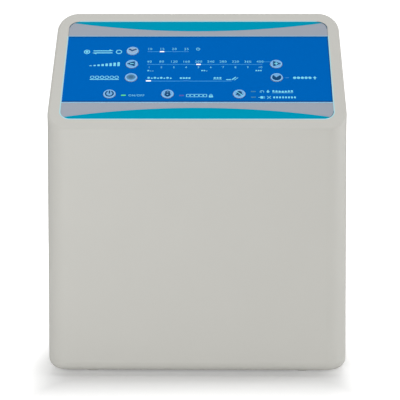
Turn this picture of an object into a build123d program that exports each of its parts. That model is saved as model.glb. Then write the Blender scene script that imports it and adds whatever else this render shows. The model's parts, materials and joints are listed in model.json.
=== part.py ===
"""Air mattress pump for a bed: a deep moulded case with a sloping key panel.

Millimetres, +Z up. The front faces -Y, and +X is on the viewer's right. The origin is on the
surface that the feet stand on, below the middle of the whole object.
"""
from build123d import *
import os
from math import cos, radians, sin, tan

# Case
case_width = 274.0
case_depth = 128.5
front_height = 223.0
panel_tilt = 38.2
side_lean = 0.5
wall = 3.0
blind_skin = 1.0
cut_past = 1.0
edge_radius = 19.5
bottom_radius = 10.0
panel_edge_radius = 2.5
boss_wall = 2.5
floor_boss_height = 8.0

# Feet
foot_height = 4.0
foot_radius = 10.0
foot_stub_radius = 4.0
foot_chamfer = 0.8
foot_side_inset = 40.0
foot_end_inset = 30.0
stub_clearance = 0.1

# Rear cover
cover_side_margin = 24.0
cover_low_margin = 16.0
cover_top_margin = 26.0
cover_thickness = 2.5
cover_corner = 9.0
cover_gap = 0.25
cover_flange = 6.0
cover_flange_wall = 2.0
lip_width = 8.0
lip_thickness = 3.0

# Screws
screw_radius = 1.5
screw_head_radius = 3.0
screw_head_height = 2.0
flat_head_radius = 2.9
flat_head_height = 1.5
flat_head_gap = 0.15
screw_hole_gap = 0.3
pilot_gap = 0.1
cover_screw_length = 12.0
screw_end_gap = 1.0

# Key panel
label_low = 13.2
label_width = 246.0
label_high = 16.1
label_corner = 9.5
label_recess = 0.8
label_thickness = 0.6
label_gap = 0.3
key_radius = 5.5
key_travel = 0.5
key_thickness = 0.6
key_crown = 0.35
key_gap = 0.3
key_rest_gap = 0.05
key_stem_radius = 2.5
key_tip_radius = 1.6
key_tip_length = 1.3
stem_gap = 0.4
stem_end_gap = 0.2
left_key_u = -61.2
right_key_u = 73.0
power_key_u = -80.0
lock_key_u = -27.0
mute_key_u = 38.3
row_one_v = 105.0
row_two_v = 86.5
row_three_v = 68.0
row_four_v = 45.8

# Lamps behind the panel
lamp_length = 3.0
lamp_width = 1.3
lamp_slot_gap = 0.3
scale_start_u = -45.0
scale_pitch = 11.45
time_lamp_v = 103.7
level_lamp_v = 85.5
mode_lamp_v = 63.0
time_lamp_count = 4
level_lamp_count = 10
mode_lamp_steps = (0, 3, 6.5)
auto_lamp_step = 9.5
key_lamp_step = 12.8
key_lamp_drop = 1.8
mute_lamp_drop = 0.4
mute_lamp_pitch = 7.6

# Control board behind the panel
board_length = 206.0
board_width = 106.0
board_thickness = 1.6
board_drop = 6.0
board_corner = 3.0
board_boss_inset = 6.0
switch_size = 6.0
switch_height = 3.5
switch_bore_gap = 0.2
switch_floor = 0.8
buzzer_radius = 7.0
buzzer_height = 6.0
buzzer_hole = 1.2
buzzer_hole_depth = 2.0
sensor_u = 54.0
sensor_drop = 10.0
sensor_length = 13.0
sensor_width = 11.0
sensor_height = 6.0
sensor_barb_length = 8.0
sensor_barb_radius = 2.0
sensor_barb_bore = 1.0

# Recesses in the sides, and the flanges of the fittings that sit in them
service_recess = 6.5
port_recess = 2.2
side_flange = 2.0
recess_gap = 0.4
recess_corner = 4.0
side_middle = 52.0

# Mains inlet, fuses and rocker on the left side
inlet_z = 62.0
fuse_z = 94.0
rocker_z = 126.0
service_half_height = 52.0
service_half_width = 29.0
service_z = 92.0
inlet_flange_width = 50.0
inlet_flange_height = 25.0
inlet_body_width = 28.0
inlet_body_height = 20.5
inlet_body_depth = 22.0
socket_width = 24.4
socket_height = 16.4
socket_depth = 16.5
socket_corner = 4.1
blade_width = 4.0
blade_thickness = 2.0
blade_pitch = 7.0
blade_step = 4.0
blade_length = 14.0
inlet_screw_reach = 20.0
fuse_cap_radius = 6.5
fuse_body_radius = 5.5
fuse_body_depth = 24.0
fuse_pitch = 22.0
fuse_cap_height = 1.9
fuse_slot_length = 9.75
fuse_slot_width = 1.6
fuse_slot_depth = 1.2
rocker_frame_width = 22.0
rocker_frame_height = 31.0
rocker_frame_corner = 2.0
rocker_body_width = 18.6
rocker_body_height = 27.0
rocker_body_depth = 15.0
rocker_floor = 2.0
rocker_width = 14.6
rocker_reach = 11.0
rocker_swing = 11.0
rocker_gap = 0.4
rocker_proud = 1.2
rocker_pivot_depth = 5.0
rocker_pivot_radius = 1.5
rocker_hub = 3.0
rocker_skirt = 2.0
trunnion_length = 1.0
trunnion_end_gap = 0.2
pivot_clearance = 0.08
body_gap = 0.3

# Air port on the right side
port_z = 146.0
port_flange_width = 46.0
port_flange_height = 92.0
port_cup_width = 30.0
port_cup_height = 66.0
port_cup_corner = 7.0
port_cup_depth = 16.0
port_wall = 2.0
port_screw_inset = 5.0
nozzle_pitch = 20.0
nozzle_radius = 4.5
nozzle_bore = 3.0
nozzle_length = 12.0
nozzle_chamfer = 0.8
ring_wire = 0.5
ring_sink = 0.8
ring_place = 7.2
catch_width = 12.0
catch_length = 4.0
catch_inset = 5.0

# Hoses and their barbs
barb_radius = 3.5
barb_bore = 2.0
barb_length = 10.0
hose_gap = 0.1
hose_wall = 1.6
hose_crest = 22.0
bend_share = 0.45
sensor_tube_wall = 1.0
sensor_tube_rise = 45.0
sensor_tube_run = 26.0
tube_end_gap = 1.0

# Leads from the power switch to the power board
lead_radius = 1.4
lead_pitch = 8.0
lead_run = 16.0
lead_rise = 50.0
lead_loop = 26.0
lead_board_inset = 8.0

# Hanging hooks
hook_pin_radius = 2.5
hook_pin_clearance = 0.15
hook_barrel_radius = 6.0
hook_barrel_height = 22.0
hook_axis_stand = 7.5
hook_reach = 56.0
hook_thickness = 6.0
hook_arm_height = 14.0
hook_tip_drop = 46.0
hook_tip_width = 12.0
hook_crown = 12.0
hook_tip_radius = 5.0
hook_throat_radius = 7.0
hook_edge_radius = 0.5
hook_side_inset = 20.0
hook_top_inset = 42.0
ear_thickness = 4.0
ear_gap = 0.3
pin_head_height = 1.5
pin_head_radius = 4.0

# Air filter
filter_width = 76.0
filter_height = 54.0
filter_z = 74.0
filter_corner = 5.0
filter_tray_depth = 18.0
filter_wall = 2.0
foam_thickness = 9.0
foam_gap = 0.4
filter_lid_margin = 5.0
filter_lid_thickness = 3.0
filter_lid_chamfer = 0.8
filter_skirt = 5.0
filter_skirt_wall = 1.8
filter_skirt_gap = 0.3
louvre_count = 6
louvre_height = 3.4
louvre_margin = 7.0
intake_count = 4
intake_width = 12.7
intake_pitch = 16.5

# Cooling slots in the rear cover
vent_count = 11
vent_width = 2.4
vent_height = 30.0
vent_pitch = 6.0
vent_z = 206.0

# Chassis and shelf
chassis_length = 200.0
chassis_width = 96.0
chassis_middle = 52.0
plate_thickness = 1.5
plate_corner = 6.0
floor_boss_radius = 6.0
floor_boss_inset = 9.0
shelf_height = 98.0
shelf_width = 90.0
shelf_flange = 12.0
shelf_hole_radius = 8.0

# Compressor
pump_length = 92.0
pump_width = 80.0
pump_height = 62.0
pump_wall = 4.0
pump_foot_height = 9.0
pump_foot_radius = 7.0
pump_foot_waist = 5.0
pump_foot_rim = 2.0
pump_foot_taper = 1.0
pump_lug = 18.0
pump_lug_corner = 3.0
diaphragm_radius = 25.0
diaphragm_thickness = 2.0
chamber_radius = 21.0
chamber_spare = 3.2
head_length = 22.0
head_width = 58.0
head_height = 52.0
head_corner = 6.0
armature_thickness = 12.0
armature_height = 18.0
armature_stroke = 1.5
magnet_length = 18.0
magnet_thickness = 4.0
magnet_height = 24.0
magnet_pitch = 24.0
air_gap = 1.5
core_length = 44.0
core_height = 26.0
core_leg = 8.0
coil_gap = 0.5
coil_end_gap = 2.0
coil_corner = 3.0
clamp_radius = 12.0
clamp_thickness = 2.0
clamp_bolt_radius = 3.0
flap_radius = 5.5
flap_thickness = 0.8
head_barb_y = 18.0
flap_y = 15.0
head_screw_inset = 6.0

# Silencer tank and rotary distributor valve on the shelf
tank_length = 142.0
tank_width = 32.0
tank_height = 30.0
tank_corner = 5.0
tank_edge_radius = 2.0
tank_wall = 3.0
tank_middle = 81.0
valve_x = 8.0
valve_middle = 35.0
valve_radius = 27.0
valve_length = 18.0
valve_wall = 3.0
valve_foot_width = 37.8
valve_rise = 33.0
rotor_radius = 22.5
rotor_thickness = 6.0
rotor_gap = 0.5
rotor_port_start = 40.0
rotor_port_span = 100.0
rotor_port_width = 4.4
rotor_shaft_radius = 2.5
shaft_clearance = 0.06
motor_radius = 25.0
motor_length = 22.0
motor_chamfer = 1.5
outlet_circle = 14.0
valve_barb_x = 8.0

# Power board on the rear cover
supply_length = 120.0
supply_width = 74.0
supply_z = 214.0
supply_stand = 8.0
transformer_size = 32.0
transformer_depth = 25.6
bobbin_length = 28.8
bobbin_height = 19.2
bobbin_depth = 16.0
bobbin_corner = 4.0
capacitor_radius = 8.0
capacitor_length = 24.0
capacitor_gap = 6.0
capacitor_chamfer = 0.8
sink_fins = 6
sink_width = 30.0
sink_height = 44.4
sink_base = 3.0
sink_fin_depth = 18.0

tilt = radians(panel_tilt)
lean = radians(side_lean)
back_wall = cover_thickness + lip_thickness
hook_stand = hook_axis_stand + hook_barrel_radius
overall_depth = case_depth + hook_stand
front_y = -overall_depth / 2
back_y = front_y + case_depth
case_bottom = foot_height
floor_z = case_bottom + wall
crease_z = case_bottom + front_height
top_z = crease_z + case_depth * tan(tilt)
panel = Plane(
    origin=(0, front_y, crease_z), x_dir=(1, 0, 0), z_dir=(0, -sin(tilt), cos(tilt))
)
panel_length = case_depth / cos(tilt)
label_length = panel_length - label_low - label_high
label_v = label_low + label_length / 2
board_top = -wall - board_drop
board_v = label_v
sensor_v = board_v - sensor_drop
side_y = front_y + side_middle
chassis_y = front_y + chassis_middle
chassis_low = floor_z + floor_boss_height
chassis_top = chassis_low + plate_thickness
pump_low = chassis_top + pump_foot_height
pump_z = pump_low + pump_height / 2
shelf_low = chassis_top + shelf_height
shelf_top = shelf_low + plate_thickness
valve_y = front_y + valve_middle
valve_z = shelf_top + valve_rise
tank_y = front_y + tank_middle
cover_inner_y = back_y - cover_thickness
supply_back = cover_inner_y - supply_stand
supply_face = supply_back - board_thickness


def half_width(z):
    """Half of the case's width at a height."""
    return case_width / 2 - (z - case_bottom) * tan(lean)


cover_half = half_width(top_z) - cover_side_margin
cover_low = case_bottom + cover_low_margin
cover_high = top_z - cover_top_margin
hook_x = cover_half - hook_side_inset
hook_y = back_y + hook_axis_stand
hook_z = cover_high - hook_top_inset
left_seat = half_width(service_z + service_half_height) - service_recess
right_seat = half_width(port_z + port_flange_height / 2) - port_recess
chamber_depth = clamp_thickness + armature_stroke + flap_thickness + chamber_spare

keys = {
    "key_timer": (left_key_u, row_one_v),
    "key_softer": (left_key_u, row_two_v),
    "key_mode": (left_key_u, row_three_v),
    "key_firmer": (right_key_u, row_two_v),
    "key_auto": (right_key_u, row_three_v),
    "key_power": (power_key_u, row_four_v),
    "key_lock": (lock_key_u, row_four_v),
    "key_mute": (mute_key_u, row_four_v),
}


def span_box(x, y, z):
    """Box between the low and high end given for each axis."""
    ends = (x, y, z)
    size = [high - low for low, high in ends]
    middle = [(high + low) / 2 for low, high in ends]
    return Pos(*middle) * Box(*size)


def along_z(sketch, low, high):
    """Sketch in X and Y, drawn out from one height to another."""
    return extrude(Pos(0, 0, low) * sketch, high - low)


def along_y(sketch, front, back):
    """Sketch in X and Z, drawn out from one depth to another."""
    plane = Plane(origin=(0, back, 0), x_dir=(1, 0, 0), z_dir=(0, -1, 0))
    return extrude(plane * sketch, back - front)


def along_x(sketch, left, right):
    """Sketch in Y and Z, drawn out from one side to another."""
    plane = Plane(origin=(left, 0, 0), x_dir=(0, 1, 0), z_dir=(1, 0, 0))
    return extrude(plane * sketch, right - left)


def on_panel(u, v, solid):
    """Solid drawn with Z out of the key panel, set at a place on the panel."""
    return panel * Pos(u, v, 0) * solid


def group(solids):
    """Separate solids that share one node."""
    return Compound(children=[part.solid() for part in solids])


# Case and cover

def case_form(inset, back_inset):
    """The case's closed form, or with an inset the space inside its walls."""
    low = case_bottom + inset
    high = top_z + wall
    low_half = half_width(low) - inset
    high_half = half_width(high) - inset
    corners = [(-low_half, low), (low_half, low), (high_half, high), (-high_half, high)]
    face = make_face(Polyline(corners, close=True))
    form = along_y(face, front_y + inset, back_y - back_inset)
    upright = form.edges().filter_by(lambda edge: edge.bounding_box().size.Z > edge_radius)
    form = fillet(upright, edge_radius - inset)
    form = fillet(form.edges().group_by(Axis.Z)[0], bottom_radius - inset)
    above_panel = Box(2 * case_width, 4 * case_depth, 2 * case_depth)
    return form - on_panel(0, 0, Pos(0, 0, case_depth - inset) * above_panel)


def panel_rim_edges(form):
    """Edges where the sloping panel meets the walls."""
    def lies_on_panel(edge):
        return all(abs(panel.to_local_coords(edge @ t).Z) < 0.001 for t in (0, 0.5, 1))

    return form.edges().filter_by(lies_on_panel)


def label_outline(grow):
    """Outline of the panel label, larger by a margin."""
    outline = RectangleRounded(
        label_width + 2 * grow, label_length + 2 * grow, label_corner + grow
    )
    return Pos(0, label_v) * outline


def cover_outline(grow):
    """Outline of the rear cover, larger by a margin."""
    height = cover_high - cover_low
    outline = RectangleRounded(
        2 * (cover_half + grow), height + 2 * grow, max(cover_corner + grow, 1)
    )
    return Pos(0, (cover_low + cover_high) / 2) * outline


def cover_screw_places():
    """Screws down both sides of the rear cover, in the middle of its lip."""
    x = cover_half - lip_width / 2
    low = cover_low + cover_corner
    step = (cover_high - cover_corner - low) / 3
    return [(side * x, low + step * count) for side in (-1, 1) for count in range(4)]


def floor_boss_places():
    """Bosses on the case floor that carry the chassis plate."""
    x = chassis_length / 2 - floor_boss_inset
    y = chassis_width / 2 - floor_boss_inset
    return [(sx * x, chassis_y + sy * y) for sx in (-1, 1) for sy in (-1, 1)]


def foot_places():
    """Feet near the corners of the case floor."""
    x = case_width / 2 - foot_side_inset
    front = front_y + foot_end_inset
    back = back_y - foot_end_inset
    return [(side * x, y) for side in (-1, 1) for y in (front, back)]


def board_boss_places():
    """Bosses below the panel that carry the control board."""
    u = board_length / 2 - board_boss_inset
    v = board_width / 2 - board_boss_inset
    return [(column * u, board_v + row * v) for column in (-1, 0, 1) for row in (-1, 1)]


def lamp_places():
    """Lamps on the control board: the two scales, the modes and the single ones."""
    time_scale = [(scale_start_u + scale_pitch * n, time_lamp_v) for n in range(time_lamp_count)]
    levels = [(scale_start_u + scale_pitch * n, level_lamp_v) for n in range(level_lamp_count)]
    modes = [(scale_start_u + scale_pitch * n, mode_lamp_v) for n in mode_lamp_steps]
    single_v = row_four_v - key_lamp_drop
    mute_v = row_four_v - mute_lamp_drop
    beside_keys = [
        (right_key_u + auto_lamp_step, row_three_v),
        (power_key_u + key_lamp_step, single_v),
        (lock_key_u + key_lamp_step, single_v),
        (mute_key_u + key_lamp_step, mute_v + mute_lamp_pitch / 2),
        (mute_key_u + key_lamp_step, mute_v - mute_lamp_pitch / 2),
    ]
    return time_scale + levels + modes + beside_keys


def service_outline(grow):
    """Outline of the recess for the mains fittings, in Y and Z."""
    return Pos(side_y, service_z) * RectangleRounded(
        2 * (service_half_width + grow), 2 * (service_half_height + grow), recess_corner + grow
    )


def port_outline(grow):
    """Outline of the recess for the air port, in Y and Z."""
    return Pos(side_y, port_z) * RectangleRounded(
        port_flange_width + 2 * grow, port_flange_height + 2 * grow, recess_corner + grow
    )


def fuse_places():
    """The two fuses, side by side above the mains inlet."""
    return [(side_y + side * fuse_pitch / 2, fuse_z) for side in (-1, 1)]


def inlet_screw_places():
    """Screws on both sides of the mains inlet."""
    return [(side_y + side * inlet_screw_reach, inlet_z) for side in (-1, 1)]


def port_screw_places():
    """Screws in the corners of the air port's flange."""
    z = port_flange_height / 2 - port_screw_inset
    y = port_flange_width / 2 - port_screw_inset
    return [(side_y + sy * y, port_z + sz * z) for sy in (-1, 1) for sz in (-1, 1)]


def case_bosses():
    """Every boss and pad that is moulded on the inside of the case."""
    bosses = []
    for x, y in floor_boss_places():
        circle = Pos(x, y) * Circle(floor_boss_radius)
        bosses.append(along_z(circle, floor_z - wall / 2, chassis_low))
    for x, z in cover_screw_places():
        circle = Pos(x, z) * Circle(lip_width / 2 - cover_gap)
        bosses.append(along_y(circle, back_y - back_wall - cover_screw_length, back_y - back_wall))
    for u, v in board_boss_places():
        column = along_z(Circle(screw_radius + pilot_gap + boss_wall), board_top, -wall / 2)
        bosses.append(on_panel(u, v, column))
    rim = recess_gap + wall
    left = along_x(service_outline(rim), blind_skin - left_seat - service_recess, wall - left_seat)
    right = along_x(port_outline(rim), right_seat - wall, right_seat + port_recess - blind_skin)
    return bosses + [left, right]


def case_openings():
    """The rebate for the rear cover, the opening inside its lip and the label's recess."""
    return [
        along_y(cover_outline(cover_gap), back_y - cover_thickness, back_y + wall),
        along_y(cover_outline(-lip_width), back_y - back_wall - wall, back_y + wall),
        on_panel(0, 0, along_z(label_outline(label_gap), -label_recess, wall)),
    ]


def case_cuts():
    """The recesses in the sides and every hole in the case."""
    pilot = screw_radius + pilot_gap
    far = case_width
    cuts = [
        along_x(service_outline(recess_gap), -far, -left_seat),
        along_x(port_outline(recess_gap), right_seat, far),
    ]
    for x, y in floor_boss_places():
        cuts.append(along_z(Pos(x, y) * Circle(pilot), floor_z, chassis_low + cut_past))
    for x, z in cover_screw_places():
        circle = Pos(x, z) * Circle(pilot)
        depth = back_wall + cover_screw_length
        cuts.append(along_y(circle, back_y - depth, back_y))
    for x, y in foot_places():
        circle = Pos(x, y) * Circle(foot_stub_radius + stub_clearance)
        cuts.append(along_z(circle, case_bottom - cut_past, floor_z + cut_past))
    for u, v in board_boss_places():
        hole = along_z(Circle(pilot), board_top - cut_past, -label_recess - blind_skin)
        cuts.append(on_panel(u, v, hole))
    for u, v in keys.values():
        hole = Circle(key_stem_radius + stem_gap)
        cuts.append(on_panel(u, v, along_z(hole, -wall - cut_past, cut_past)))
    slot = Rectangle(lamp_length + 2 * lamp_slot_gap, lamp_width + 2 * lamp_slot_gap)
    for u, v in lamp_places():
        cuts.append(on_panel(u, v, along_z(slot, -wall - cut_past, cut_past)))
    return cuts + side_cuts()


def side_cuts():
    """Cut-outs for the bodies of the fittings on both sides, with their screw holes."""
    pilot = screw_radius + pilot_gap
    inside = 2 * wall
    inlet = Pos(side_y, inlet_z) * Rectangle(
        inlet_body_width + 2 * body_gap, inlet_body_height + 2 * body_gap
    )
    rocker = Pos(side_y, rocker_z) * Rectangle(
        rocker_body_width + 2 * body_gap, rocker_body_height + 2 * body_gap
    )
    port = Pos(side_y, port_z) * RectangleRounded(
        port_cup_width + 2 * (port_wall + body_gap),
        port_cup_height + 2 * (port_wall + body_gap),
        port_cup_corner + port_wall,
    )
    fuses = [Pos(*place) * Circle(fuse_body_radius + body_gap) for place in fuse_places()]
    inlet_screws = [Pos(*place) * Circle(pilot) for place in inlet_screw_places()]
    port_screws = [Pos(*place) * Circle(pilot) for place in port_screw_places()]
    cuts = []
    for outline in [inlet, rocker] + fuses + inlet_screws:
        cuts.append(along_x(outline, -left_seat - inside, inside - left_seat))
    for outline in [port] + port_screws:
        cuts.append(along_x(outline, right_seat - inside, right_seat + inside))
    return cuts


def front_case():
    """Front, sides, floor, sloping panel and rear lip, moulded as one deep shell."""
    outer = case_form(0, 0)
    outer = fillet(panel_rim_edges(outer), panel_edge_radius)
    shell = outer - case_form(wall, back_wall)
    for opening in case_openings():
        shell -= opening
    return (shell + case_bosses()) - case_cuts()


def hook_ears(side):
    """Two ears of the rear cover that hold one hook's pin."""
    ears = []
    reach = hook_barrel_radius
    sketch = Circle(reach) + Pos(0, -hook_axis_stand / 2) * Rectangle(2 * reach, hook_axis_stand)
    sketch = Pos(side * hook_x, hook_y) * (sketch - Circle(hook_pin_radius + stub_clearance / 2))
    half = hook_barrel_height / 2 + ear_gap
    for low in (hook_z + half, hook_z - half - ear_thickness):
        ears.append(along_z(sketch, low, low + ear_thickness))
    return ears


def filter_mouth(grow):
    """Outline of the filter bay's mouth, larger by a margin."""
    return Pos(0, filter_z) * RectangleRounded(
        filter_width + 2 * grow, filter_height + 2 * grow, filter_corner + grow
    )


def supply_boss_places():
    """Bosses of the rear cover that carry the power board."""
    x = supply_length / 2 - board_boss_inset
    z = supply_width / 2 - board_boss_inset
    return [(sx * x, supply_z + sz * z) for sx in (-1, 1) for sz in (-1, 1)]


def rear_cover():
    """Rear plate with its locating flange, filter bay, hook ears and board bosses."""
    pilot = screw_radius + pilot_gap
    flange_outer = cover_outline(-lip_width - cover_gap)
    flange_inner = cover_outline(-lip_width - cover_gap - cover_flange_wall)
    flange_front = cover_inner_y - lip_thickness - cover_flange
    tray_floor = back_y - filter_tray_depth
    cover = along_y(cover_outline(0), cover_inner_y, back_y)
    cover += along_y(flange_outer - flange_inner, flange_front, cover_inner_y)
    cover += along_y(filter_mouth(filter_wall), tray_floor, cover_inner_y)
    for side in (-1, 1):
        cover += hook_ears(side)
    for x, z in supply_boss_places():
        circle = Pos(x, z) * Circle(pilot + boss_wall)
        cover += along_y(circle, supply_back, cover_inner_y)
    cuts = [along_y(filter_mouth(0), tray_floor + filter_wall, back_y + cut_past)]
    intake = Rectangle(intake_width, filter_height - 2 * louvre_margin)
    for count in range(intake_count):
        x = (count - (intake_count - 1) / 2) * intake_pitch
        slot = Pos(x, filter_z) * intake
        cuts.append(along_y(slot, tray_floor - cut_past, tray_floor + filter_wall + cut_past))
    for x, z in cover_screw_places():
        circle = Pos(x, z) * Circle(screw_radius + screw_hole_gap)
        cuts.append(along_y(circle, cover_inner_y - cut_past, back_y + cut_past))
    for x, z in supply_boss_places():
        circle = Pos(x, z) * Circle(pilot)
        cuts.append(along_y(circle, supply_back - cut_past, cover_inner_y))
    first = -(vent_count - 1) / 2
    for count in range(vent_count):
        slot = Pos((first + count) * vent_pitch, vent_z) * SlotOverall(
            vent_height, vent_width, rotation=90
        )
        cuts.append(along_y(slot, cover_inner_y - cut_past, back_y + cut_past))
    return cover - cuts


def screw(head_plane, length):
    """Pan head screw: the head sits on the plane, and the shank goes down from it."""
    head = along_z(Circle(screw_head_radius), 0, screw_head_height)
    shank = along_z(Circle(screw_radius), -length, 0)
    return head_plane * (head + shank)


def flat_screw(head_plane, length):
    """Countersunk screw with the top of its head on the plane."""
    head = Pos(0, 0, -flat_head_height / 2) * Cone(screw_radius, flat_head_radius, flat_head_height)
    return head_plane * (head + along_z(Circle(screw_radius), -length, 0))


def countersink(place, face, out):
    """Cut for a countersunk screw in a flange whose face looks out along X."""
    hole = along_z(Circle(screw_radius + screw_hole_gap), -side_flange - cut_past, cut_past)
    gap = flat_head_gap
    cone = Cone(screw_radius + gap, flat_head_radius + gap, flat_head_height)
    plane = Plane(origin=(face, place[0], place[1]), x_dir=(0, 1, 0), z_dir=(out, 0, 0))
    return plane * (hole + Pos(0, 0, gap / 2 - flat_head_height / 2) * cone)


def cover_screws():
    """Screws that hold the rear cover to the bosses behind the case's lip."""
    screws = []
    for x, z in cover_screw_places():
        plane = Plane(origin=(x, back_y, z), x_dir=(1, 0, 0), z_dir=(0, 1, 0))
        screws.append(screw(plane, cover_screw_length))
    return group(screws)


def rubber_feet():
    """Rubber feet, pushed by their stubs into holes in the case floor."""
    feet = []
    for x, y in foot_places():
        foot = along_z(Circle(foot_radius), 0, foot_height)
        foot = chamfer(foot.edges().group_by(Axis.Z)[0], foot_chamfer)
        stub = along_z(Circle(foot_stub_radius), foot_height, foot_height + wall)
        feet.append(Pos(x, y, 0) * (foot + stub))
    return group(feet)


# Key panel

def panel_overlay():
    """Printed label that lies in the panel's recess, with a hole round each key."""
    sheet = label_outline(0)
    for u, v in keys.values():
        sheet -= Pos(u, v) * Circle(key_radius + key_gap)
    return on_panel(0, 0, along_z(sheet, -label_recess, label_thickness - label_recess))


def key(u, v):
    """Round key with a stem that reaches down into its switch."""
    low = key_travel + key_rest_gap - label_recess
    cap = along_z(Circle(key_radius), low, low + key_thickness)
    sphere_radius = (key_radius**2 + key_crown**2) / (2 * key_crown)
    crown = Pos(0, 0, low + key_thickness + key_crown - sphere_radius) * Sphere(sphere_radius)
    crown &= along_z(Circle(key_radius), low + key_thickness, low + 2 * key_thickness)
    stem_low = board_top + switch_height + key_travel + stem_end_gap
    stem = along_z(Circle(key_stem_radius), stem_low, low)
    tip_low = board_top + switch_height - key_tip_length
    tip = along_z(Circle(key_tip_radius), tip_low, stem_low)
    return on_panel(u, v, cap + crown + stem + tip)


def control_board():
    """Circuit board below the panel, screwed to the bosses."""
    board = Pos(0, board_v) * RectangleRounded(board_length, board_width, board_corner)
    for u, v in board_boss_places():
        board -= Pos(u, v) * Circle(screw_radius + screw_hole_gap)
    return on_panel(0, 0, along_z(board, board_top - board_thickness, board_top))


def board_screws():
    """Screws of both circuit boards."""
    screws = supply_screws()
    underside = board_top - board_thickness
    for u, v in board_boss_places():
        plane = Plane(origin=(0, 0, 0), x_dir=(1, 0, 0), z_dir=(0, 0, -1))
        screws.append(on_panel(u, v, Pos(0, 0, underside) * screw(plane, board_drop)))
    return group(screws)


def key_switches():
    """Switch under each key, open in the middle for the key's tip."""
    switches = []
    top = board_top + switch_height
    bore = along_z(Circle(key_tip_radius + switch_bore_gap), board_top + switch_floor, top)
    body = along_z(Rectangle(switch_size, switch_size), board_top, top)
    for u, v in keys.values():
        switches.append(on_panel(u, v, body - bore))
    return group(switches)


def indicator_lamps():
    """Light pipes from the board up to the back of the label."""
    pipe = along_z(Rectangle(lamp_length, lamp_width), board_top, -label_recess)
    return group([on_panel(u, v, pipe) for u, v in lamp_places()])


def buzzer():
    """Round buzzer on the underside of the board, with a sound hole."""
    underside = board_top - board_thickness
    low = underside - buzzer_height
    body = along_z(Circle(buzzer_radius), low, underside)
    body -= along_z(Circle(buzzer_hole), low - cut_past, low + buzzer_hole_depth)
    return on_panel(mute_key_u, board_v, body)


def pressure_sensor():
    """Pressure sensor on the underside of the board, with a barb for its tube."""
    underside = board_top - board_thickness
    low = underside - sensor_height
    tip = low - sensor_barb_length
    body = along_z(Rectangle(sensor_length, sensor_width), low, underside)
    body += along_z(Circle(sensor_barb_radius), tip, low)
    body -= along_z(Circle(sensor_barb_bore), tip - cut_past, low)
    return on_panel(sensor_u, sensor_v, body)


# Mains fittings on the left side

def power_inlet():
    """Mains inlet: screwed flange, body, and a socket with two cut corners."""
    face = -left_seat - side_flange
    flange = Pos(side_y, inlet_z) * RectangleRounded(
        inlet_flange_width, inlet_flange_height, recess_corner
    )
    body = Pos(side_y, inlet_z) * Rectangle(inlet_body_width, inlet_body_height)
    socket = Rectangle(socket_width, socket_height)
    top_corners = socket.vertices().group_by(Axis.Y)[-1]
    socket = Pos(side_y, inlet_z) * chamfer(top_corners, socket_corner)
    inlet = along_x(flange, face, -left_seat)
    inlet += along_x(body, -left_seat, inlet_body_depth - left_seat)
    inlet -= along_x(socket, face - cut_past, face + socket_depth)
    return inlet - [countersink(place, face, -1) for place in inlet_screw_places()]


def inlet_blade_places():
    """Two blades in one row, and the earth blade above them."""
    low = inlet_z - blade_step / 2
    high = inlet_z + blade_step / 2
    return [(side_y - blade_pitch, low), (side_y, high), (side_y + blade_pitch, low)]


def inlet_blades():
    """Three contact blades, from inside the socket to the solder tabs behind it."""
    floor = -left_seat - side_flange + socket_depth
    blades = []
    for y, z in inlet_blade_places():
        blade = Pos(y, z) * Rectangle(blade_thickness, blade_width)
        blades.append(along_x(blade, floor - blade_length, floor))
    return group(blades)


def side_screws(places, seat):
    """Screws through a side fitting's flange, with their heads towards the outside."""
    out = 1 if seat > 0 else -1
    screws = []
    for y, z in places:
        face = seat + out * side_flange
        plane = Plane(origin=(face, y, z), x_dir=(0, 1, 0), z_dir=(out, 0, 0))
        screws.append(flat_screw(plane, side_flange + 2 * wall))
    return screws


def flange_screws():
    """Countersunk screws of the mains inlet and the air port."""
    left = side_screws(inlet_screw_places(), -left_seat)
    return group(left + side_screws(port_screw_places(), right_seat))


def fuse_holders():
    """Two round fuse holders: slotted cap outside, body inside."""
    holders = []
    face = -left_seat - fuse_cap_height
    for y, z in fuse_places():
        cap = along_x(Pos(y, z) * Circle(fuse_cap_radius), face, -left_seat)
        body = Pos(y, z) * Circle(fuse_body_radius)
        cap += along_x(body, -left_seat, fuse_body_depth - left_seat)
        slot = Pos(y, z) * Rectangle(fuse_slot_width, fuse_slot_length)
        holders.append(cap - along_x(slot, face - cut_past, face + fuse_slot_depth))
    return group(holders)


def rocker_well_reach():
    """Half height of the well, clear of the rocker's ends at both ends of its swing."""
    out = rocker_pivot_depth + side_flange
    swing = radians(rocker_swing)
    return rocker_reach / cos(swing) + out * tan(swing) + rocker_gap


def rocker_frame():
    """Frame of the power switch, open in the middle for the rocker."""
    face = -left_seat - side_flange
    flange = Pos(side_y, rocker_z) * RectangleRounded(
        rocker_frame_width, rocker_frame_height, rocker_frame_corner
    )
    body = Pos(side_y, rocker_z) * Rectangle(rocker_body_width, rocker_body_height)
    well = Pos(side_y, rocker_z) * Rectangle(
        rocker_width + 2 * rocker_gap, 2 * rocker_well_reach()
    )
    frame = along_x(flange, face, -left_seat)
    frame += along_x(body, -left_seat, rocker_body_depth - left_seat)
    frame -= along_x(well, face - cut_past, rocker_body_depth - rocker_floor - left_seat)
    end = rocker_width / 2 + trunnion_length + trunnion_end_gap
    hole = Pos(rocker_pivot_depth - left_seat, rocker_z) * Circle(
        rocker_pivot_radius + pivot_clearance
    )
    return frame - along_y(hole, side_y - end, side_y + end)


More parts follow.
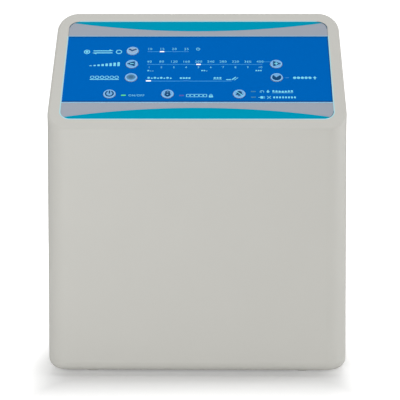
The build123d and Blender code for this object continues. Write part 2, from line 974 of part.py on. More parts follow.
def rocker():
    """Rocker with two sloping finger faces and two trunnions, pressed in at its lower end."""
    out = rocker_pivot_depth + side_flange + rocker_proud
    rise = rocker_reach * sin(radians(rocker_swing))
    outline = [
        (-out - rise, -rocker_reach),
        (-out, 0),
        (-out - rise, rocker_reach),
        (-rocker_skirt, rocker_reach),
        (rocker_hub, rocker_hub),
        (rocker_hub, -rocker_hub),
        (-rocker_skirt, -rocker_reach),
    ]
    face = make_face(Polyline(outline, close=True))
    body = along_y(face, -rocker_width / 2, rocker_width / 2)
    pin_half = rocker_width / 2 + trunnion_length
    body += along_y(Circle(rocker_pivot_radius), -pin_half, pin_half)
    pivot_x = rocker_pivot_depth - left_seat
    return Pos(pivot_x, side_y, rocker_z) * Rot(0, rocker_swing, 0) * body


# Air port on the right side

def nozzle_places():
    """The three nozzles, one above the other."""
    return [(side_y, port_z + step * nozzle_pitch) for step in (-1, 0, 1)]


def port_cup_outline(grow):
    """Outline of the air port's cup, larger by a margin."""
    return Pos(side_y, port_z) * RectangleRounded(
        port_cup_width + 2 * grow, port_cup_height + 2 * grow, port_cup_corner + grow
    )


def port_block():
    """Recessed air port: flange, cup with two catch slots, three nozzles and three barbs."""
    face = right_seat + side_flange
    floor = face - port_cup_depth
    tip = floor - port_wall - barb_length
    flange = Pos(side_y, port_z) * RectangleRounded(
        port_flange_width, port_flange_height, recess_corner
    )
    block = along_x(flange, right_seat, face)
    block += along_x(port_cup_outline(port_wall), floor - port_wall, right_seat)
    block -= along_x(port_cup_outline(0), floor, face + cut_past)
    catch_high = port_cup_height / 2 + port_wall + cut_past
    block -= span_box(
        (face - catch_inset - catch_length, face - catch_inset),
        (side_y - catch_width / 2, side_y + catch_width / 2),
        (port_z - catch_high, port_z + catch_high),
    )
    for y, z in nozzle_places():
        nozzle = along_x(Pos(y, z) * Circle(nozzle_radius), floor, floor + nozzle_length)
        nozzle = chamfer(nozzle.edges().group_by(Axis.X)[-1], nozzle_chamfer)
        groove = Circle(nozzle_radius + cut_past) - Circle(nozzle_radius - ring_sink)
        middle = floor + ring_place
        block += nozzle - along_x(Pos(y, z) * groove, middle - ring_wire, middle + ring_wire)
        barb = Pos(y, z) * Circle(barb_radius)
        block += along_x(barb, tip, floor - port_wall)
    for y, z in nozzle_places():
        block -= along_x(Pos(y, z) * Circle(nozzle_bore), floor - cut_past, face)
        block -= along_x(Pos(y, z) * Circle(barb_bore), tip - cut_past, floor)
    return block - [countersink(place, face, 1) for place in port_screw_places()]


def port_rings():
    """Sealing rings in the grooves of the nozzles."""
    floor = right_seat + side_flange - port_cup_depth
    ring_radius = nozzle_radius - ring_sink + ring_wire
    ring = Rot(0, 90, 0) * Torus(ring_radius, ring_wire)
    return group([Pos(floor + ring_place, y, z) * ring for y, z in nozzle_places()])


def bent(points, section):
    """Section drawn along straight runs, with an arc at each bend as large as they allow."""
    corners = [Vector(*point) for point in points]
    radii = []
    for before, here, after in zip(corners, corners[1:], corners[2:]):
        turn = radians((here - before).get_angle(after - here))
        run = min((here - before).length, (after - here).length)
        radii.append(bend_share * run / tan(turn / 2))
    path = FilletPolyline(*corners, radius=radii)
    start = Plane(origin=path @ 0, z_dir=path % 0)
    return sweep(start * section, path=path)


def hose(points):
    """Air hose that fits over the barbs."""
    inner = barb_radius + hose_gap
    return bent(points, Circle(inner + hose_wall) - Circle(inner))


# Hanging hooks

def hook(side):
    """Hook that lies against the back, its arm towards the middle and its tip down."""
    top = hook_barrel_height / 2
    arm_low = top - hook_arm_height
    tip_low = top - hook_tip_drop
    inner = hook_reach - hook_tip_width
    outline = [
        (0, top),
        (hook_reach, top),
        (hook_reach, tip_low),
        (inner, tip_low),
        (inner, arm_low),
        (0, arm_low),
    ]
    radii = [
        hook_edge_radius,
        hook_crown,
        hook_tip_radius,
        hook_tip_radius,
        hook_throat_radius,
        hook_edge_radius,
    ]
    face = make_face(FilletPolyline(*outline, radius=radii, close=True))
    body = along_y(face, -hook_thickness / 2, hook_thickness / 2)
    body += along_z(Circle(hook_barrel_radius), -top, top)
    bore = Circle(hook_pin_radius + hook_pin_clearance)
    body -= along_z(bore, -top - cut_past, top + cut_past)
    if side > 0:
        body = mirror(body, about=Plane.YZ)
    return Pos(side * hook_x, hook_y, hook_z) * body


def hook_pins():
    """Steel pins that the hooks turn on, each with a head above its upper ear."""
    half = hook_barrel_height / 2 + ear_gap + ear_thickness
    pin = along_z(Circle(hook_pin_radius), -half, half)
    pin += along_z(Circle(pin_head_radius), half, half + pin_head_height)
    return group([Pos(side * hook_x, hook_y, hook_z) * pin for side in (-1, 1)])


# Air filter

def filter_foam():
    """Foam on the floor of the filter bay."""
    low = back_y - filter_tray_depth + filter_wall
    return along_y(filter_mouth(-foam_gap), low, low + foam_thickness)


def filter_cover():
    """Louvred lid: a flange on the rear cover and a skirt inside the bay's mouth."""
    lid = along_y(filter_mouth(filter_lid_margin), back_y, back_y + filter_lid_thickness)
    lid = chamfer(lid.edges().group_by(Axis.Y)[-1], filter_lid_chamfer)
    skirt = filter_mouth(-filter_skirt_gap) - filter_mouth(-filter_skirt_gap - filter_skirt_wall)
    lid += along_y(skirt, back_y - filter_skirt, back_y)
    span = filter_height - 2 * louvre_margin
    pitch = span / (louvre_count - 1)
    slot = SlotOverall(filter_width - 2 * louvre_margin, louvre_height)
    for count in range(louvre_count):
        z = filter_z - span / 2 + count * pitch
        through = back_y + filter_lid_thickness + cut_past
        lid -= along_y(Pos(0, z) * slot, back_y - cut_past, through)
    return lid


# Chassis and shelf

def chassis_outline():
    """Outline of the chassis plate."""
    return Pos(0, chassis_y) * RectangleRounded(chassis_length, chassis_width, plate_corner)


def pump_mount_places():
    """The compressor's four lugs."""
    x = pump_length / 2 + pump_lug / 2
    y = pump_width / 2 - pump_lug / 2
    return [(sx * x, chassis_y + sy * y) for sx in (-1, 1) for sy in (-1, 1)]


def chassis_plate():
    """Steel plate on the floor bosses that carries everything on the case floor."""
    plate = chassis_outline()
    for x, y in floor_boss_places():
        plate -= Pos(x, y) * Circle(screw_radius + screw_hole_gap)
    return along_z(plate, chassis_low, chassis_top)


def chassis_screws():
    """Screws that hold the chassis plate to the floor bosses."""
    screws = []
    for x, y in floor_boss_places():
        screws.append(screw(Plane(origin=(x, y, chassis_top), z_dir=(0, 0, 1)), floor_boss_height))
    return group(screws)


def shelf():
    """Folded steel shelf that stands on the chassis and bridges the compressor."""
    half = chassis_length / 2 - 2 * floor_boss_inset
    front = chassis_y - shelf_width / 2
    back = chassis_y + shelf_width / 2
    deck = span_box((-half, half), (front, back), (shelf_low, shelf_top))
    for side in (-1, 1):
        outer = side * half
        leg = sorted((outer, outer - side * plate_thickness))
        deck += span_box(leg, (front, back), (chassis_top, shelf_low))
        lip = sorted((outer, outer - side * shelf_flange))
        deck += span_box(lip, (front, back), (chassis_top, chassis_top + plate_thickness))
    for x, y in head_barb_places():
        hole = Pos(x, y) * Circle(shelf_hole_radius)
        deck -= along_z(hole, shelf_low - cut_past, shelf_top + cut_past)
    return deck


# Compressor

def head_barb_places():
    """Outlet barbs of the two valve heads, seen from above."""
    x = pump_length / 2 + diaphragm_thickness + head_length / 2
    return [(side * x, chassis_y + head_barb_y) for side in (-1, 1)]


def pump_mounts():
    """Rubber mounts between the chassis and the compressor's lugs."""
    mounts = []
    for x, y in pump_mount_places():
        outline = [
            (0, chassis_top),
            (pump_foot_radius, chassis_top),
            (pump_foot_radius, chassis_top + pump_foot_rim),
            (pump_foot_waist, chassis_top + pump_foot_rim + pump_foot_taper),
            (pump_foot_waist, pump_low - pump_foot_rim - pump_foot_taper),
            (pump_foot_radius, pump_low - pump_foot_rim),
            (pump_foot_radius, pump_low),
            (0, pump_low),
        ]
        face = make_face(Plane.XZ * Polyline(outline, close=True))
        mounts.append(Pos(x, y, 0) * revolve(face, Axis.Z))
    return group(mounts)


def pump_frame():
    """Compressor frame: a box with lugs below and a round hole in each end."""
    half = (pump_length / 2, pump_width / 2, pump_height / 2)
    frame = Box(2 * half[0], 2 * half[1], 2 * half[2])
    frame -= Box(
        2 * (half[0] - pump_wall), 2 * (half[1] - pump_wall), 2 * (half[2] - pump_wall)
    )
    frame -= along_x(Circle(chamber_radius), -pump_length, pump_length)
    window = Rectangle(pump_length - 4 * pump_wall, pump_width - 4 * pump_wall)
    frame -= along_z(window, 0, pump_height)
    lug = RectangleRounded(pump_lug, pump_lug, pump_lug_corner)
    lug = along_z(lug, -half[2], pump_wall - half[2])
    for x, y in pump_mount_places():
        sign = 1 if x > 0 else -1
        bridge = Pos(x - sign * pump_wall, y - chassis_y) * lug
        frame += [Pos(x, y - chassis_y) * lug, bridge]
    return Pos(0, chassis_y, pump_z) * frame


def pump_cores():
    """Two laminated cores with three legs each, one in front of the armature and one behind."""
    outer = pump_width / 2 - pump_wall
    inner = armature_thickness / 2 + magnet_thickness + air_gap
    half = core_length / 2
    core = span_box((-half, half), (inner, outer), (-core_height / 2, core_height / 2))
    window = (core_length - 3 * core_leg) / 2
    for side in (-1, 1):
        middle = side * (core_leg + window) / 2
        core -= Pos(middle, inner + (outer - core_leg - inner) / 2, 0) * Box(
            window, outer - core_leg - inner, core_height + cut_past
        )
    front = mirror(core, about=Plane.XZ)
    return group([Pos(0, chassis_y, pump_z) * part for part in (core, front)])


def pump_coils():
    """Windings round the middle legs of the cores."""
    outer = pump_width / 2 - pump_wall - core_leg - coil_gap
    inner = armature_thickness / 2 + magnet_thickness + air_gap + coil_end_gap
    window = (core_length - 3 * core_leg) / 2
    hole = Rectangle(core_leg + 2 * coil_gap, core_height + 2 * coil_gap)
    ring = Rectangle(core_leg + 2 * window - 2 * coil_gap, core_height + 2 * window - 2 * coil_gap)
    coil = along_y(fillet(ring.vertices(), coil_corner) - hole, inner, outer)
    front = mirror(coil, about=Plane.XZ)
    return group([Pos(0, chassis_y, pump_z) * part for part in (coil, front)])


def armature():
    """Sliding bar between the cores, with a clamp plate and bolt at each diaphragm."""
    reach = pump_length / 2 - clamp_thickness
    bar = span_box(
        (-reach, reach),
        (-armature_thickness / 2, armature_thickness / 2),
        (-armature_height / 2, armature_height / 2),
    )
    for side in (-1, 1):
        inner = sorted((side * reach, side * (reach + clamp_thickness)))
        seat = side * (pump_length / 2 + diaphragm_thickness)
        outer = sorted((seat, seat + side * clamp_thickness))
        bolt = sorted((side * reach, seat))
        bar += along_x(Circle(clamp_radius), *inner)
        bar += along_x(Circle(clamp_radius), *outer)
        bar += along_x(Circle(clamp_bolt_radius), *bolt)
    return Pos(0, chassis_y, pump_z) * bar


def magnets():
    """Flat magnets bonded to both faces of the armature."""
    solids = []
    for side in (-1, 1):
        face = side * armature_thickness / 2
        depth = sorted((face, face + side * magnet_thickness))
        for column in (-0.5, 0.5):
            middle = column * magnet_pitch
            solids.append(
                span_box(
                    (middle - magnet_length / 2, middle + magnet_length / 2),
                    depth,
                    (-magnet_height / 2, magnet_height / 2),
                )
            )
    return group([Pos(0, chassis_y, pump_z) * solid for solid in solids])


def diaphragms():
    """Rubber diaphragms clamped between the frame and the valve heads."""
    disc = Circle(diaphragm_radius) - Circle(clamp_bolt_radius)
    right = along_x(disc, pump_length / 2, pump_length / 2 + diaphragm_thickness)
    left = mirror(right, about=Plane.YZ)
    return group([Pos(0, chassis_y, pump_z) * part for part in (left, right)])


def valve_head(side):
    """Valve head: air chamber on the inside, an intake hole below and a barb on top."""
    inner = pump_length / 2 + diaphragm_thickness
    outer = inner + head_length
    outline = RectangleRounded(head_width, head_height, head_corner)
    head = along_x(outline, inner, outer)
    head -= along_x(Circle(chamber_radius), inner - cut_past, inner + chamber_depth)
    middle = inner + head_length / 2
    top = head_height / 2
    head += along_z(Pos(middle, head_barb_y) * Circle(barb_radius), top, top + barb_length)
    outlet = Pos(middle, head_barb_y) * Circle(barb_bore)
    intake = Pos(middle, -head_barb_y) * Circle(barb_bore)
    head -= along_z(outlet, 0, top + barb_length + cut_past)
    head -= along_z(intake, -top - cut_past, 0)
    passage = SlotCenterToCenter(head_barb_y - flap_y, 2 * barb_bore)
    for sy in (-1, 1):
        place = Pos(sy * (head_barb_y + flap_y) / 2, 0)
        head -= along_x(place * passage, inner + chamber_depth - cut_past, middle)
    if side < 0:
        head = mirror(head, about=Plane.YZ)
    return Pos(0, chassis_y, pump_z) * head


def flap_valves():
    """Rubber flaps over the holes in the floor of each air chamber."""
    floor = pump_length / 2 + diaphragm_thickness + chamber_depth
    flaps = []
    for side in (-1, 1):
        depth = sorted((side * (floor - flap_thickness), side * floor))
        for y in (-flap_y, flap_y):
            flap = along_x(Pos(y, 0) * Circle(flap_radius), *depth)
            flaps.append(Pos(0, chassis_y, pump_z) * flap)
    return group(flaps)


def head_screws():
    """Screws through the corners of the valve heads into the frame."""
    screws = []
    face = pump_length / 2 + diaphragm_thickness + head_length
    y = head_width / 2 - head_screw_inset
    z = head_height / 2 - head_screw_inset
    for side in (-1, 1):
        for sy in (-1, 1):
            for sz in (-1, 1):
                plane = Plane(origin=(side * face, sy * y, sz * z), z_dir=(side, 0, 0))
                head = plane * along_z(Circle(screw_head_radius), 0, screw_head_height)
                screws.append(Pos(0, chassis_y, pump_z) * head)
    return group(screws)


# Silencer tank and rotary distributor valve

def silencer_tank():
    """Tank that evens out the air, with two barbs below and one on top."""
    outline = Pos(0, tank_y) * RectangleRounded(tank_length, tank_width, tank_corner)
    tank = along_z(outline, shelf_top, shelf_top + tank_height)
    tank = fillet(tank.edges().group_by(Axis.Z)[-1], tank_edge_radius)
    low = shelf_top - barb_length
    top = shelf_top + tank_height
    for x, y in head_barb_places():
        place = Pos(x, y)
        tank += along_z(place * Circle(barb_radius), low, shelf_top)
        tank -= along_z(place * Circle(barb_bore), low - cut_past, shelf_top + tank_wall)
    upper_barbs = [
        (valve_barb_x, barb_radius, barb_bore),
        (sensor_u, sensor_barb_radius, sensor_barb_bore),
    ]
    for x, radius, bore in upper_barbs:
        place = Pos(x, tank_y)
        tank += along_z(place * Circle(radius), top, top + barb_length)
        tank -= along_z(place * Circle(bore), top - tank_wall, top + barb_length + cut_past)
    return tank


def valve_outlet_places():
    """Outlets on the valve's face, at thirds of a turn."""
    turns = [radians(90 + 120 * count) for count in range(3)]
    return [
        (valve_y + outlet_circle * cos(turn), valve_z + outlet_circle * sin(turn))
        for turn in turns
    ]


def valve_body():
    """Distributor valve: round housing, foot on the shelf, inlet on top, three outlets."""
    face = valve_x + valve_length
    middle = Pos(valve_y, valve_z)
    body = along_x(middle * Circle(valve_radius), valve_x, face)
    half = valve_foot_width / 2
    body += span_box((valve_x, face), (valve_y - half, valve_y + half), (shelf_top, valve_z))
    cavity_low = valve_x + valve_wall
    cavity_high = cavity_low + rotor_thickness + 2 * rotor_gap
    cavity = middle * Circle(rotor_radius + rotor_gap)
    body -= along_x(cavity, cavity_low, cavity_high)
    shaft = middle * Circle(rotor_shaft_radius + shaft_clearance)
    body -= along_x(shaft, valve_x - cut_past, cavity_low + cut_past)
    for y, z in valve_outlet_places():
        body += along_x(Pos(y, z) * Circle(barb_radius), face, face + barb_length)
    for y, z in valve_outlet_places():
        bore = Pos(y, z) * Circle(barb_bore)
        body -= along_x(bore, cavity_high - cut_past, face + barb_length + cut_past)
    inlet_x = valve_x + valve_length / 2
    top = valve_z + valve_radius
    place = Pos(inlet_x, valve_y)
    body += along_z(place * Circle(barb_radius), top - valve_wall, top + barb_length)
    bore_floor = valve_z + rotor_radius
    body -= along_z(place * Circle(barb_bore), bore_floor, top + barb_length + cut_past)
    return body


def valve_rotor():
    """Disc with a curved port, turned by its shaft inside the valve."""
    low = valve_x + valve_wall + rotor_gap
    middle = Pos(valve_y, valve_z)
    disc = middle * Circle(rotor_radius)
    arc = CenterArc((0, 0), outlet_circle, rotor_port_start, rotor_port_span)
    port = middle * SlotArc(arc, rotor_port_width)
    rotor = along_x(disc - port, low, low + rotor_thickness)
    shaft = middle * Circle(rotor_shaft_radius)
    return rotor + along_x(shaft, valve_x - motor_length / 2, low)


def valve_motor():
    """Slow gear motor behind the valve, bored for the rotor's shaft."""
    middle = Pos(valve_y, valve_z)
    motor = along_x(middle * Circle(motor_radius), valve_x - motor_length, valve_x)
    motor = chamfer(motor.edges().group_by(Axis.X)[0], motor_chamfer)
    bore = middle * Circle(rotor_shaft_radius + shaft_clearance)
    return motor - along_x(bore, valve_x - motor_length / 2 - cut_past, valve_x + cut_past)


def head_hoses():
    """Short hoses from the valve heads up to the tank."""
    inner = barb_radius + hose_gap
    ring = Circle(inner + hose_wall) - Circle(inner)
    low = pump_z + head_height / 2
    return group([along_z(Pos(x, y) * ring, low, shelf_top) for x, y in head_barb_places()])


def supply_hose():
    """Hose from the tank's top over to the valve's inlet."""
    inlet_x = valve_x + valve_length / 2
    start = (valve_barb_x, tank_y, shelf_top + tank_height)
    end = (inlet_x, valve_y, valve_z + valve_radius)
    high = end[2] + barb_length + hose_crest
    return hose([start, (start[0], start[1], high), (end[0], end[1], high), end])


def outlet_hoses():
    """Three hoses from the valve to the air port."""
    start_x = valve_x + valve_length
    end_x = right_seat + side_flange - port_cup_depth - port_wall
    outlets = sorted(valve_outlet_places(), key=lambda place: place[1])
    hoses = []
    for (y0, z0), (y1, z1) in zip(outlets, nozzle_places()):
        run = (end_x - start_x) / 3
        points = [
            (start_x, y0, z0),
            (start_x + run, y0, z0),
            (end_x - run, y1, z1),
            (end_x, y1, z1),
        ]
        hoses.append(hose(points))
    return group(hoses)


# Power board on the rear cover

def power_board():
    """Circuit board on the bosses of the rear cover."""
    board = Pos(0, supply_z) * Rectangle(supply_length, supply_width)
    for x, z in supply_boss_places():
        board -= Pos(x, z) * Circle(screw_radius + screw_hole_gap)
    return along_y(board, supply_face, supply_back)


def supply_screws():
    """Screws of the power board."""
    screws = []
    for x, z in supply_boss_places():
        plane = Plane(origin=(x, supply_face, z), x_dir=(1, 0, 0), z_dir=(0, -1, 0))
        screws.append(screw(plane, cover_inner_y - supply_face - screw_end_gap))
    return screws


def transformer():
    """Transformer: square core round a wound bobbin."""
    place = Pos(-supply_length / 4, supply_z)
    core = Rectangle(transformer_size, transformer_size)
    window = Rectangle(transformer_size + cut_past, bobbin_height)
    bobbin = RectangleRounded(bobbin_length, bobbin_height, bobbin_corner)
    front = supply_face - (transformer_depth + bobbin_depth) / 2
    body = along_y(place * core, supply_face - transformer_depth, supply_face)
    body -= along_y(place * window, front, front + bobbin_depth)
    return body + along_y(place * bobbin, front, front + bobbin_depth)


def capacitors():
    """Two round capacitors that stand on the board."""
    cans = []
    for row in (-1, 1):
        z = supply_z + row * (capacitor_radius + capacitor_gap / 2)
        can = Pos(0, z) * Circle(capacitor_radius)
        can = along_y(can, supply_face - capacitor_length, supply_face)
        cans.append(chamfer(can.edges().group_by(Axis.Y)[0], capacitor_chamfer))
    return group(cans)


def heat_sink():
    """Aluminium block with upright fins."""
    x = supply_length / 4
    front = supply_face - sink_fin_depth
    sink = Pos(x, supply_z) * Rectangle(sink_width, sink_height)
    body = along_y(sink, front, supply_face)
    pitch = sink_width / sink_fins
    for count in range(sink_fins - 1):
        middle = x - sink_width / 2 + (count + 1) * pitch
        gap = Pos(middle, supply_z) * Rectangle(pitch / 2, supply_width)
        body -= along_y(gap, front - cut_past, supply_face - sink_base)
    return body


def sensor_barb_tip():
    """Open end of the pressure sensor's barb, and the way it points."""
    depth = board_top - board_thickness - sensor_height - sensor_barb_length
    tip = panel.from_local_coords((sensor_u, sensor_v, depth))
    return Vector(*tip), -panel.z_dir


def sensor_tube():
    """Thin tube from the tank's small barb up to the pressure sensor."""
    tip, out = sensor_barb_tip()
    low = shelf_top + tank_height
    points = [
        (sensor_u, tank_y, low),
        (sensor_u, tank_y, low + sensor_tube_rise),
        tuple(tip + out * sensor_tube_run),
        tuple(tip - out * (sensor_barb_length - tube_end_gap)),
    ]
    inner = sensor_barb_radius + hose_gap
    return bent(points, Circle(inner + sensor_tube_wall) - Circle(inner))


def mains_leads():
    """Pair of insulated leads from the power switch to the power board."""
    back = rocker_body_depth - left_seat
    leads = []
    top = supply_z + supply_width / 2 - lead_board_inset
    for side in (-1, 1):
        step = side * lead_pitch / 2
        x = lead_board_inset + lead_pitch - supply_length / 2 + step
        points = [
            (back, side_y + step, rocker_z),
            (back + lead_run, side_y + step, rocker_z),
            (back + 2 * lead_run, (side_y + supply_face) / 2 + step, rocker_z + lead_rise),
            (x, supply_face - lead_loop + step, top),
            (x, supply_face, top),
        ]
        leads.append(bent(points, Circle(lead_radius)))
    return group(leads)


def nodes():
    """Every sub-part under its name."""
    parts = {
        "front_case": front_case(),
        "rear_cover": rear_cover(),
        "cover_screws": cover_screws(),
        "rubber_feet": rubber_feet(),
        "panel_overlay": panel_overlay(),
        "control_board": control_board(),
        "board_screws": board_screws(),
        "key_switches": key_switches(),
        "indicator_lamps": indicator_lamps(),
        "buzzer": buzzer(),
        "pressure_sensor": pressure_sensor(),
        "power_inlet": power_inlet(),
        "inlet_blades": inlet_blades(),
        "fuse_holders": fuse_holders(),
        "rocker_frame": rocker_frame(),
        "rocker": rocker(),
        "port_block": port_block(),
        "port_rings": port_rings(),
        "flange_screws": flange_screws(),
        "hook_left": hook(-1),
        "hook_right": hook(1),
        "hook_pins": hook_pins(),
        "filter_foam": filter_foam(),
        "filter_cover": filter_cover(),
        "chassis_plate": chassis_plate(),
        "chassis_screws": chassis_screws(),
        "shelf": shelf(),
        "pump_mounts": pump_mounts(),
        "pump_frame": pump_frame(),
        "pump_cores": pump_cores(),
        "pump_coils": pump_coils(),
        "armature": armature(),
        "armature_magnets": magnets(),
        "diaphragms": diaphragms(),
        "valve_head_left": valve_head(-1),
        "valve_head_right": valve_head(1),
        "flap_valves": flap_valves(),
        "head_screws": head_screws(),
        "silencer_tank": silencer_tank(),
        "valve_body": valve_body(),
        "valve_rotor": valve_rotor(),
        "valve_motor": valve_motor(),
        "head_hoses": head_hoses(),
        "supply_hose": supply_hose(),
        "outlet_hoses": outlet_hoses(),
        "power_board": power_board(),
        "sensor_tube": sensor_tube(),
        "mains_leads": mains_leads(),
        "transformer": transformer(),
        "capacitors": capacitors(),
        "heat_sink": heat_sink(),
    }
    for name, (u, v) in keys.items():
        parts[name] = key(u, v)
    return parts


def main():
    """Writes each sub-part as a STEP file."""
    os.makedirs("parts", exist_ok=True)
    for name, shape in nodes().items():
        export_step(shape, f"parts/{name}.step")


main()
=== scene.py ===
"""Looks of the air mattress pump: materials, prints, screw heads, stage, lights and camera.

Prints and screw heads are drawn in millimetres and built in metres. Names that end in _mm are in
millimetres, and the places of floor, lamps and camera are in metres. On the sloping panel, u runs
to the right from its middle and v runs up the slope from its low edge.
"""
import json
import math

import bmesh
import bpy
from mathutils import Matrix, Vector


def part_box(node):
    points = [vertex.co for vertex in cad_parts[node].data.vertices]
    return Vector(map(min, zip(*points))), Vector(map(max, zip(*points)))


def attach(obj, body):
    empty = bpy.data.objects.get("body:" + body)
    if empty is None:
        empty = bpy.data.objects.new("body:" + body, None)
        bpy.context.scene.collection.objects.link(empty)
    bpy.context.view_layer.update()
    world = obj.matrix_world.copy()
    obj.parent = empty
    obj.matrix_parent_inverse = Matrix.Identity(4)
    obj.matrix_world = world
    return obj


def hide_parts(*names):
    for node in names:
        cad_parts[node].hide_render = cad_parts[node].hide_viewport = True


MM = 0.001
TILT = math.radians(38.2)
CREASE_HEIGHT_MM = 227.0

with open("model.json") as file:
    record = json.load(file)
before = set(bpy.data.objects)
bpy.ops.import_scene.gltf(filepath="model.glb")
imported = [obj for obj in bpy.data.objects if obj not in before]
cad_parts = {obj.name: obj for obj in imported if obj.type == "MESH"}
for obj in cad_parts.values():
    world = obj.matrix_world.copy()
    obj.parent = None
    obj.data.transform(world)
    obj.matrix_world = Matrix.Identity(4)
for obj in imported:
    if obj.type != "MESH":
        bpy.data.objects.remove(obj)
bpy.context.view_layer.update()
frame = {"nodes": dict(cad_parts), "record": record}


def srgb(red, green, blue):
    """Linear colour from the 0 to 255 values of a screen colour."""
    def linear(value):
        share = value / 255
        if share <= 0.04045:
            return share / 12.92
        return ((share + 0.055) / 1.055) ** 2.4

    return (linear(red), linear(green), linear(blue), 1.0)


def shade(color, factor):
    """The same colour, lighter or darker."""
    return (color[0] * factor, color[1] * factor, color[2] * factor, 1.0)


# Materials

class Look:
    """A procedural material with one Principled shader, built up step by step."""

    def __init__(self, name, color, rough, specular=0.5, metal=0.0):
        self.material = bpy.data.materials.new(name)
        self.material.use_nodes = True
        self.tree = self.material.node_tree
        self.shader = self.tree.nodes["Principled BSDF"]
        self.color = color
        self.rough = rough
        self.shader.inputs["Base Color"].default_value = color
        self.shader.inputs["Roughness"].default_value = rough
        self.shader.inputs["Specular IOR Level"].default_value = specular
        self.shader.inputs["Metallic"].default_value = metal
        self.place = self.tree.nodes.new("ShaderNodeTexCoord").outputs["Object"]

    def node(self, kind, **values):
        made = self.tree.nodes.new(kind)
        for name, value in values.items():
            setattr(made, name, value)
        return made

    def link(self, start, end):
        self.tree.links.new(start, end)

    def noise(self, size_mm, detail=3.0, stretch=(1, 1, 1)):
        """Noise with features of about the given size."""
        mapping = self.node("ShaderNodeMapping")
        mapping.inputs["Scale"].default_value = stretch
        self.link(self.place, mapping.inputs["Vector"])
        noise = self.node("ShaderNodeTexNoise")
        noise.inputs["Scale"].default_value = 1 / (size_mm * MM)
        noise.inputs["Detail"].default_value = detail
        self.link(mapping.outputs["Vector"], noise.inputs["Vector"])
        return noise.outputs["Fac"]

    def tint(self, size_mm, spread):
        """Slow, slight variation of the colour."""
        mix = self.node("ShaderNodeMix", data_type="RGBA")
        mix.inputs["A"].default_value = shade(self.color, 1 - spread)
        mix.inputs["B"].default_value = shade(self.color, 1 + spread)
        self.link(self.noise(size_mm), mix.inputs["Factor"])
        self.link(mix.outputs["Result"], self.shader.inputs["Base Color"])
        return self

    def smudge(self, size_mm, spread):
        """Variation of the roughness, as handling leaves it."""
        span = self.node("ShaderNodeMapRange")
        span.inputs["To Min"].default_value = self.rough - spread
        span.inputs["To Max"].default_value = self.rough + spread
        self.link(self.noise(size_mm), span.inputs["Value"])
        self.link(span.outputs["Result"], self.shader.inputs["Roughness"])
        return self

    def grain(self, size_mm, height_mm, stretch=(1, 1, 1)):
        """Fine raised texture."""
        bump = self.node("ShaderNodeBump")
        bump.inputs["Distance"].default_value = height_mm * MM
        bump.inputs["Strength"].default_value = 1.0
        self.link(self.noise(size_mm, 2.0, stretch), bump.inputs["Height"])
        self.link(bump.outputs["Normal"], self.shader.inputs["Normal"])
        return self

    def glow(self, strength):
        """Light of its own, as a lit lamp has."""
        self.shader.inputs["Emission Color"].default_value = self.color
        self.shader.inputs["Emission Strength"].default_value = strength
        return self


def moulded(name, color, rough=0.5):
    """Moulded plastic with a fine spark-eroded texture."""
    look = Look(name, color, rough, specular=0.4)
    return look.tint(60, 0.012).smudge(25, 0.05).grain(0.55, 0.012).material


def film(name, color, rough=0.34, specular=0.1):
    """Film or smooth plastic with a fine satin surface."""
    return Look(name, color, rough, specular).tint(30, 0.012).grain(0.25, 0.002).material


def ink(name, color, rough=0.5):
    """Printed ink on the film."""
    return Look(name, color, rough, specular=0.0).tint(4, 0.02).material


def rubber(name, color, rough=0.75):
    return Look(name, color, rough, specular=0.3).tint(12, 0.05).grain(0.8, 0.02).material


def plated(name, color, rough=0.3):
    """Zinc or nickel plated steel, with fine marks along one way."""
    look = Look(name, color, rough, metal=1.0)
    return look.tint(8, 0.05).smudge(3, 0.08).grain(0.4, 0.004, (1, 1, 6)).material


def lamp_look(name, color, strength):
    return Look(name, color, 0.3, specular=0.05).tint(3, 0.01).glow(strength).material


CASE = srgb(197, 196, 190)
LOOKS = {
    "case_plastic": moulded("case_plastic", CASE),
    "cover_plastic": moulded("cover_plastic", shade(CASE, 0.97), 0.54),
    "hook_plastic": moulded("hook_plastic", shade(CASE, 0.94), 0.5),
    "port_plastic": moulded("port_plastic", shade(CASE, 0.92), 0.48),
    "black_plastic": moulded("black_plastic", srgb(42, 42, 45), 0.42),
    "rocker_plastic": moulded("rocker_plastic", srgb(34, 34, 37), 0.3),
    "white_plastic": moulded("white_plastic", srgb(225, 224, 219), 0.45),
    "label_film": film("label_film", srgb(166, 173, 185), specular=0.0),
    "key_plastic": film("key_plastic", srgb(150, 180, 214), 0.3),
    "lamp_plastic": film("lamp_plastic", srgb(226, 228, 226), 0.2),
    "circuit_board": film("circuit_board", srgb(34, 96, 60), 0.4),
    "black_rubber": rubber("black_rubber", srgb(40, 40, 41)),
    "hose_rubber": rubber("hose_rubber", srgb(214, 213, 206), 0.45),
    "lead_insulation": rubber("lead_insulation", srgb(140, 70, 38), 0.5),
    "filter_foam": Look("filter_foam", srgb(52, 52, 55), 0.95, 0.1).tint(2, 0.4).grain(
        1.4, 0.9).material,
    "screw_steel": plated("screw_steel", srgb(158, 159, 158), 0.28),
    "zinc_sheet": plated("zinc_sheet", srgb(178, 180, 184), 0.36),
    "core_steel": plated("core_steel", srgb(112, 112, 114), 0.5),
    "cast_aluminium": plated("cast_aluminium", srgb(190, 192, 194), 0.45),
    "plated_brass": plated("plated_brass", srgb(204, 196, 160), 0.25),
    "copper_wire": plated("copper_wire", srgb(186, 104, 62), 0.35),
    "magnet": plated("magnet", srgb(84, 84, 88), 0.55),
}

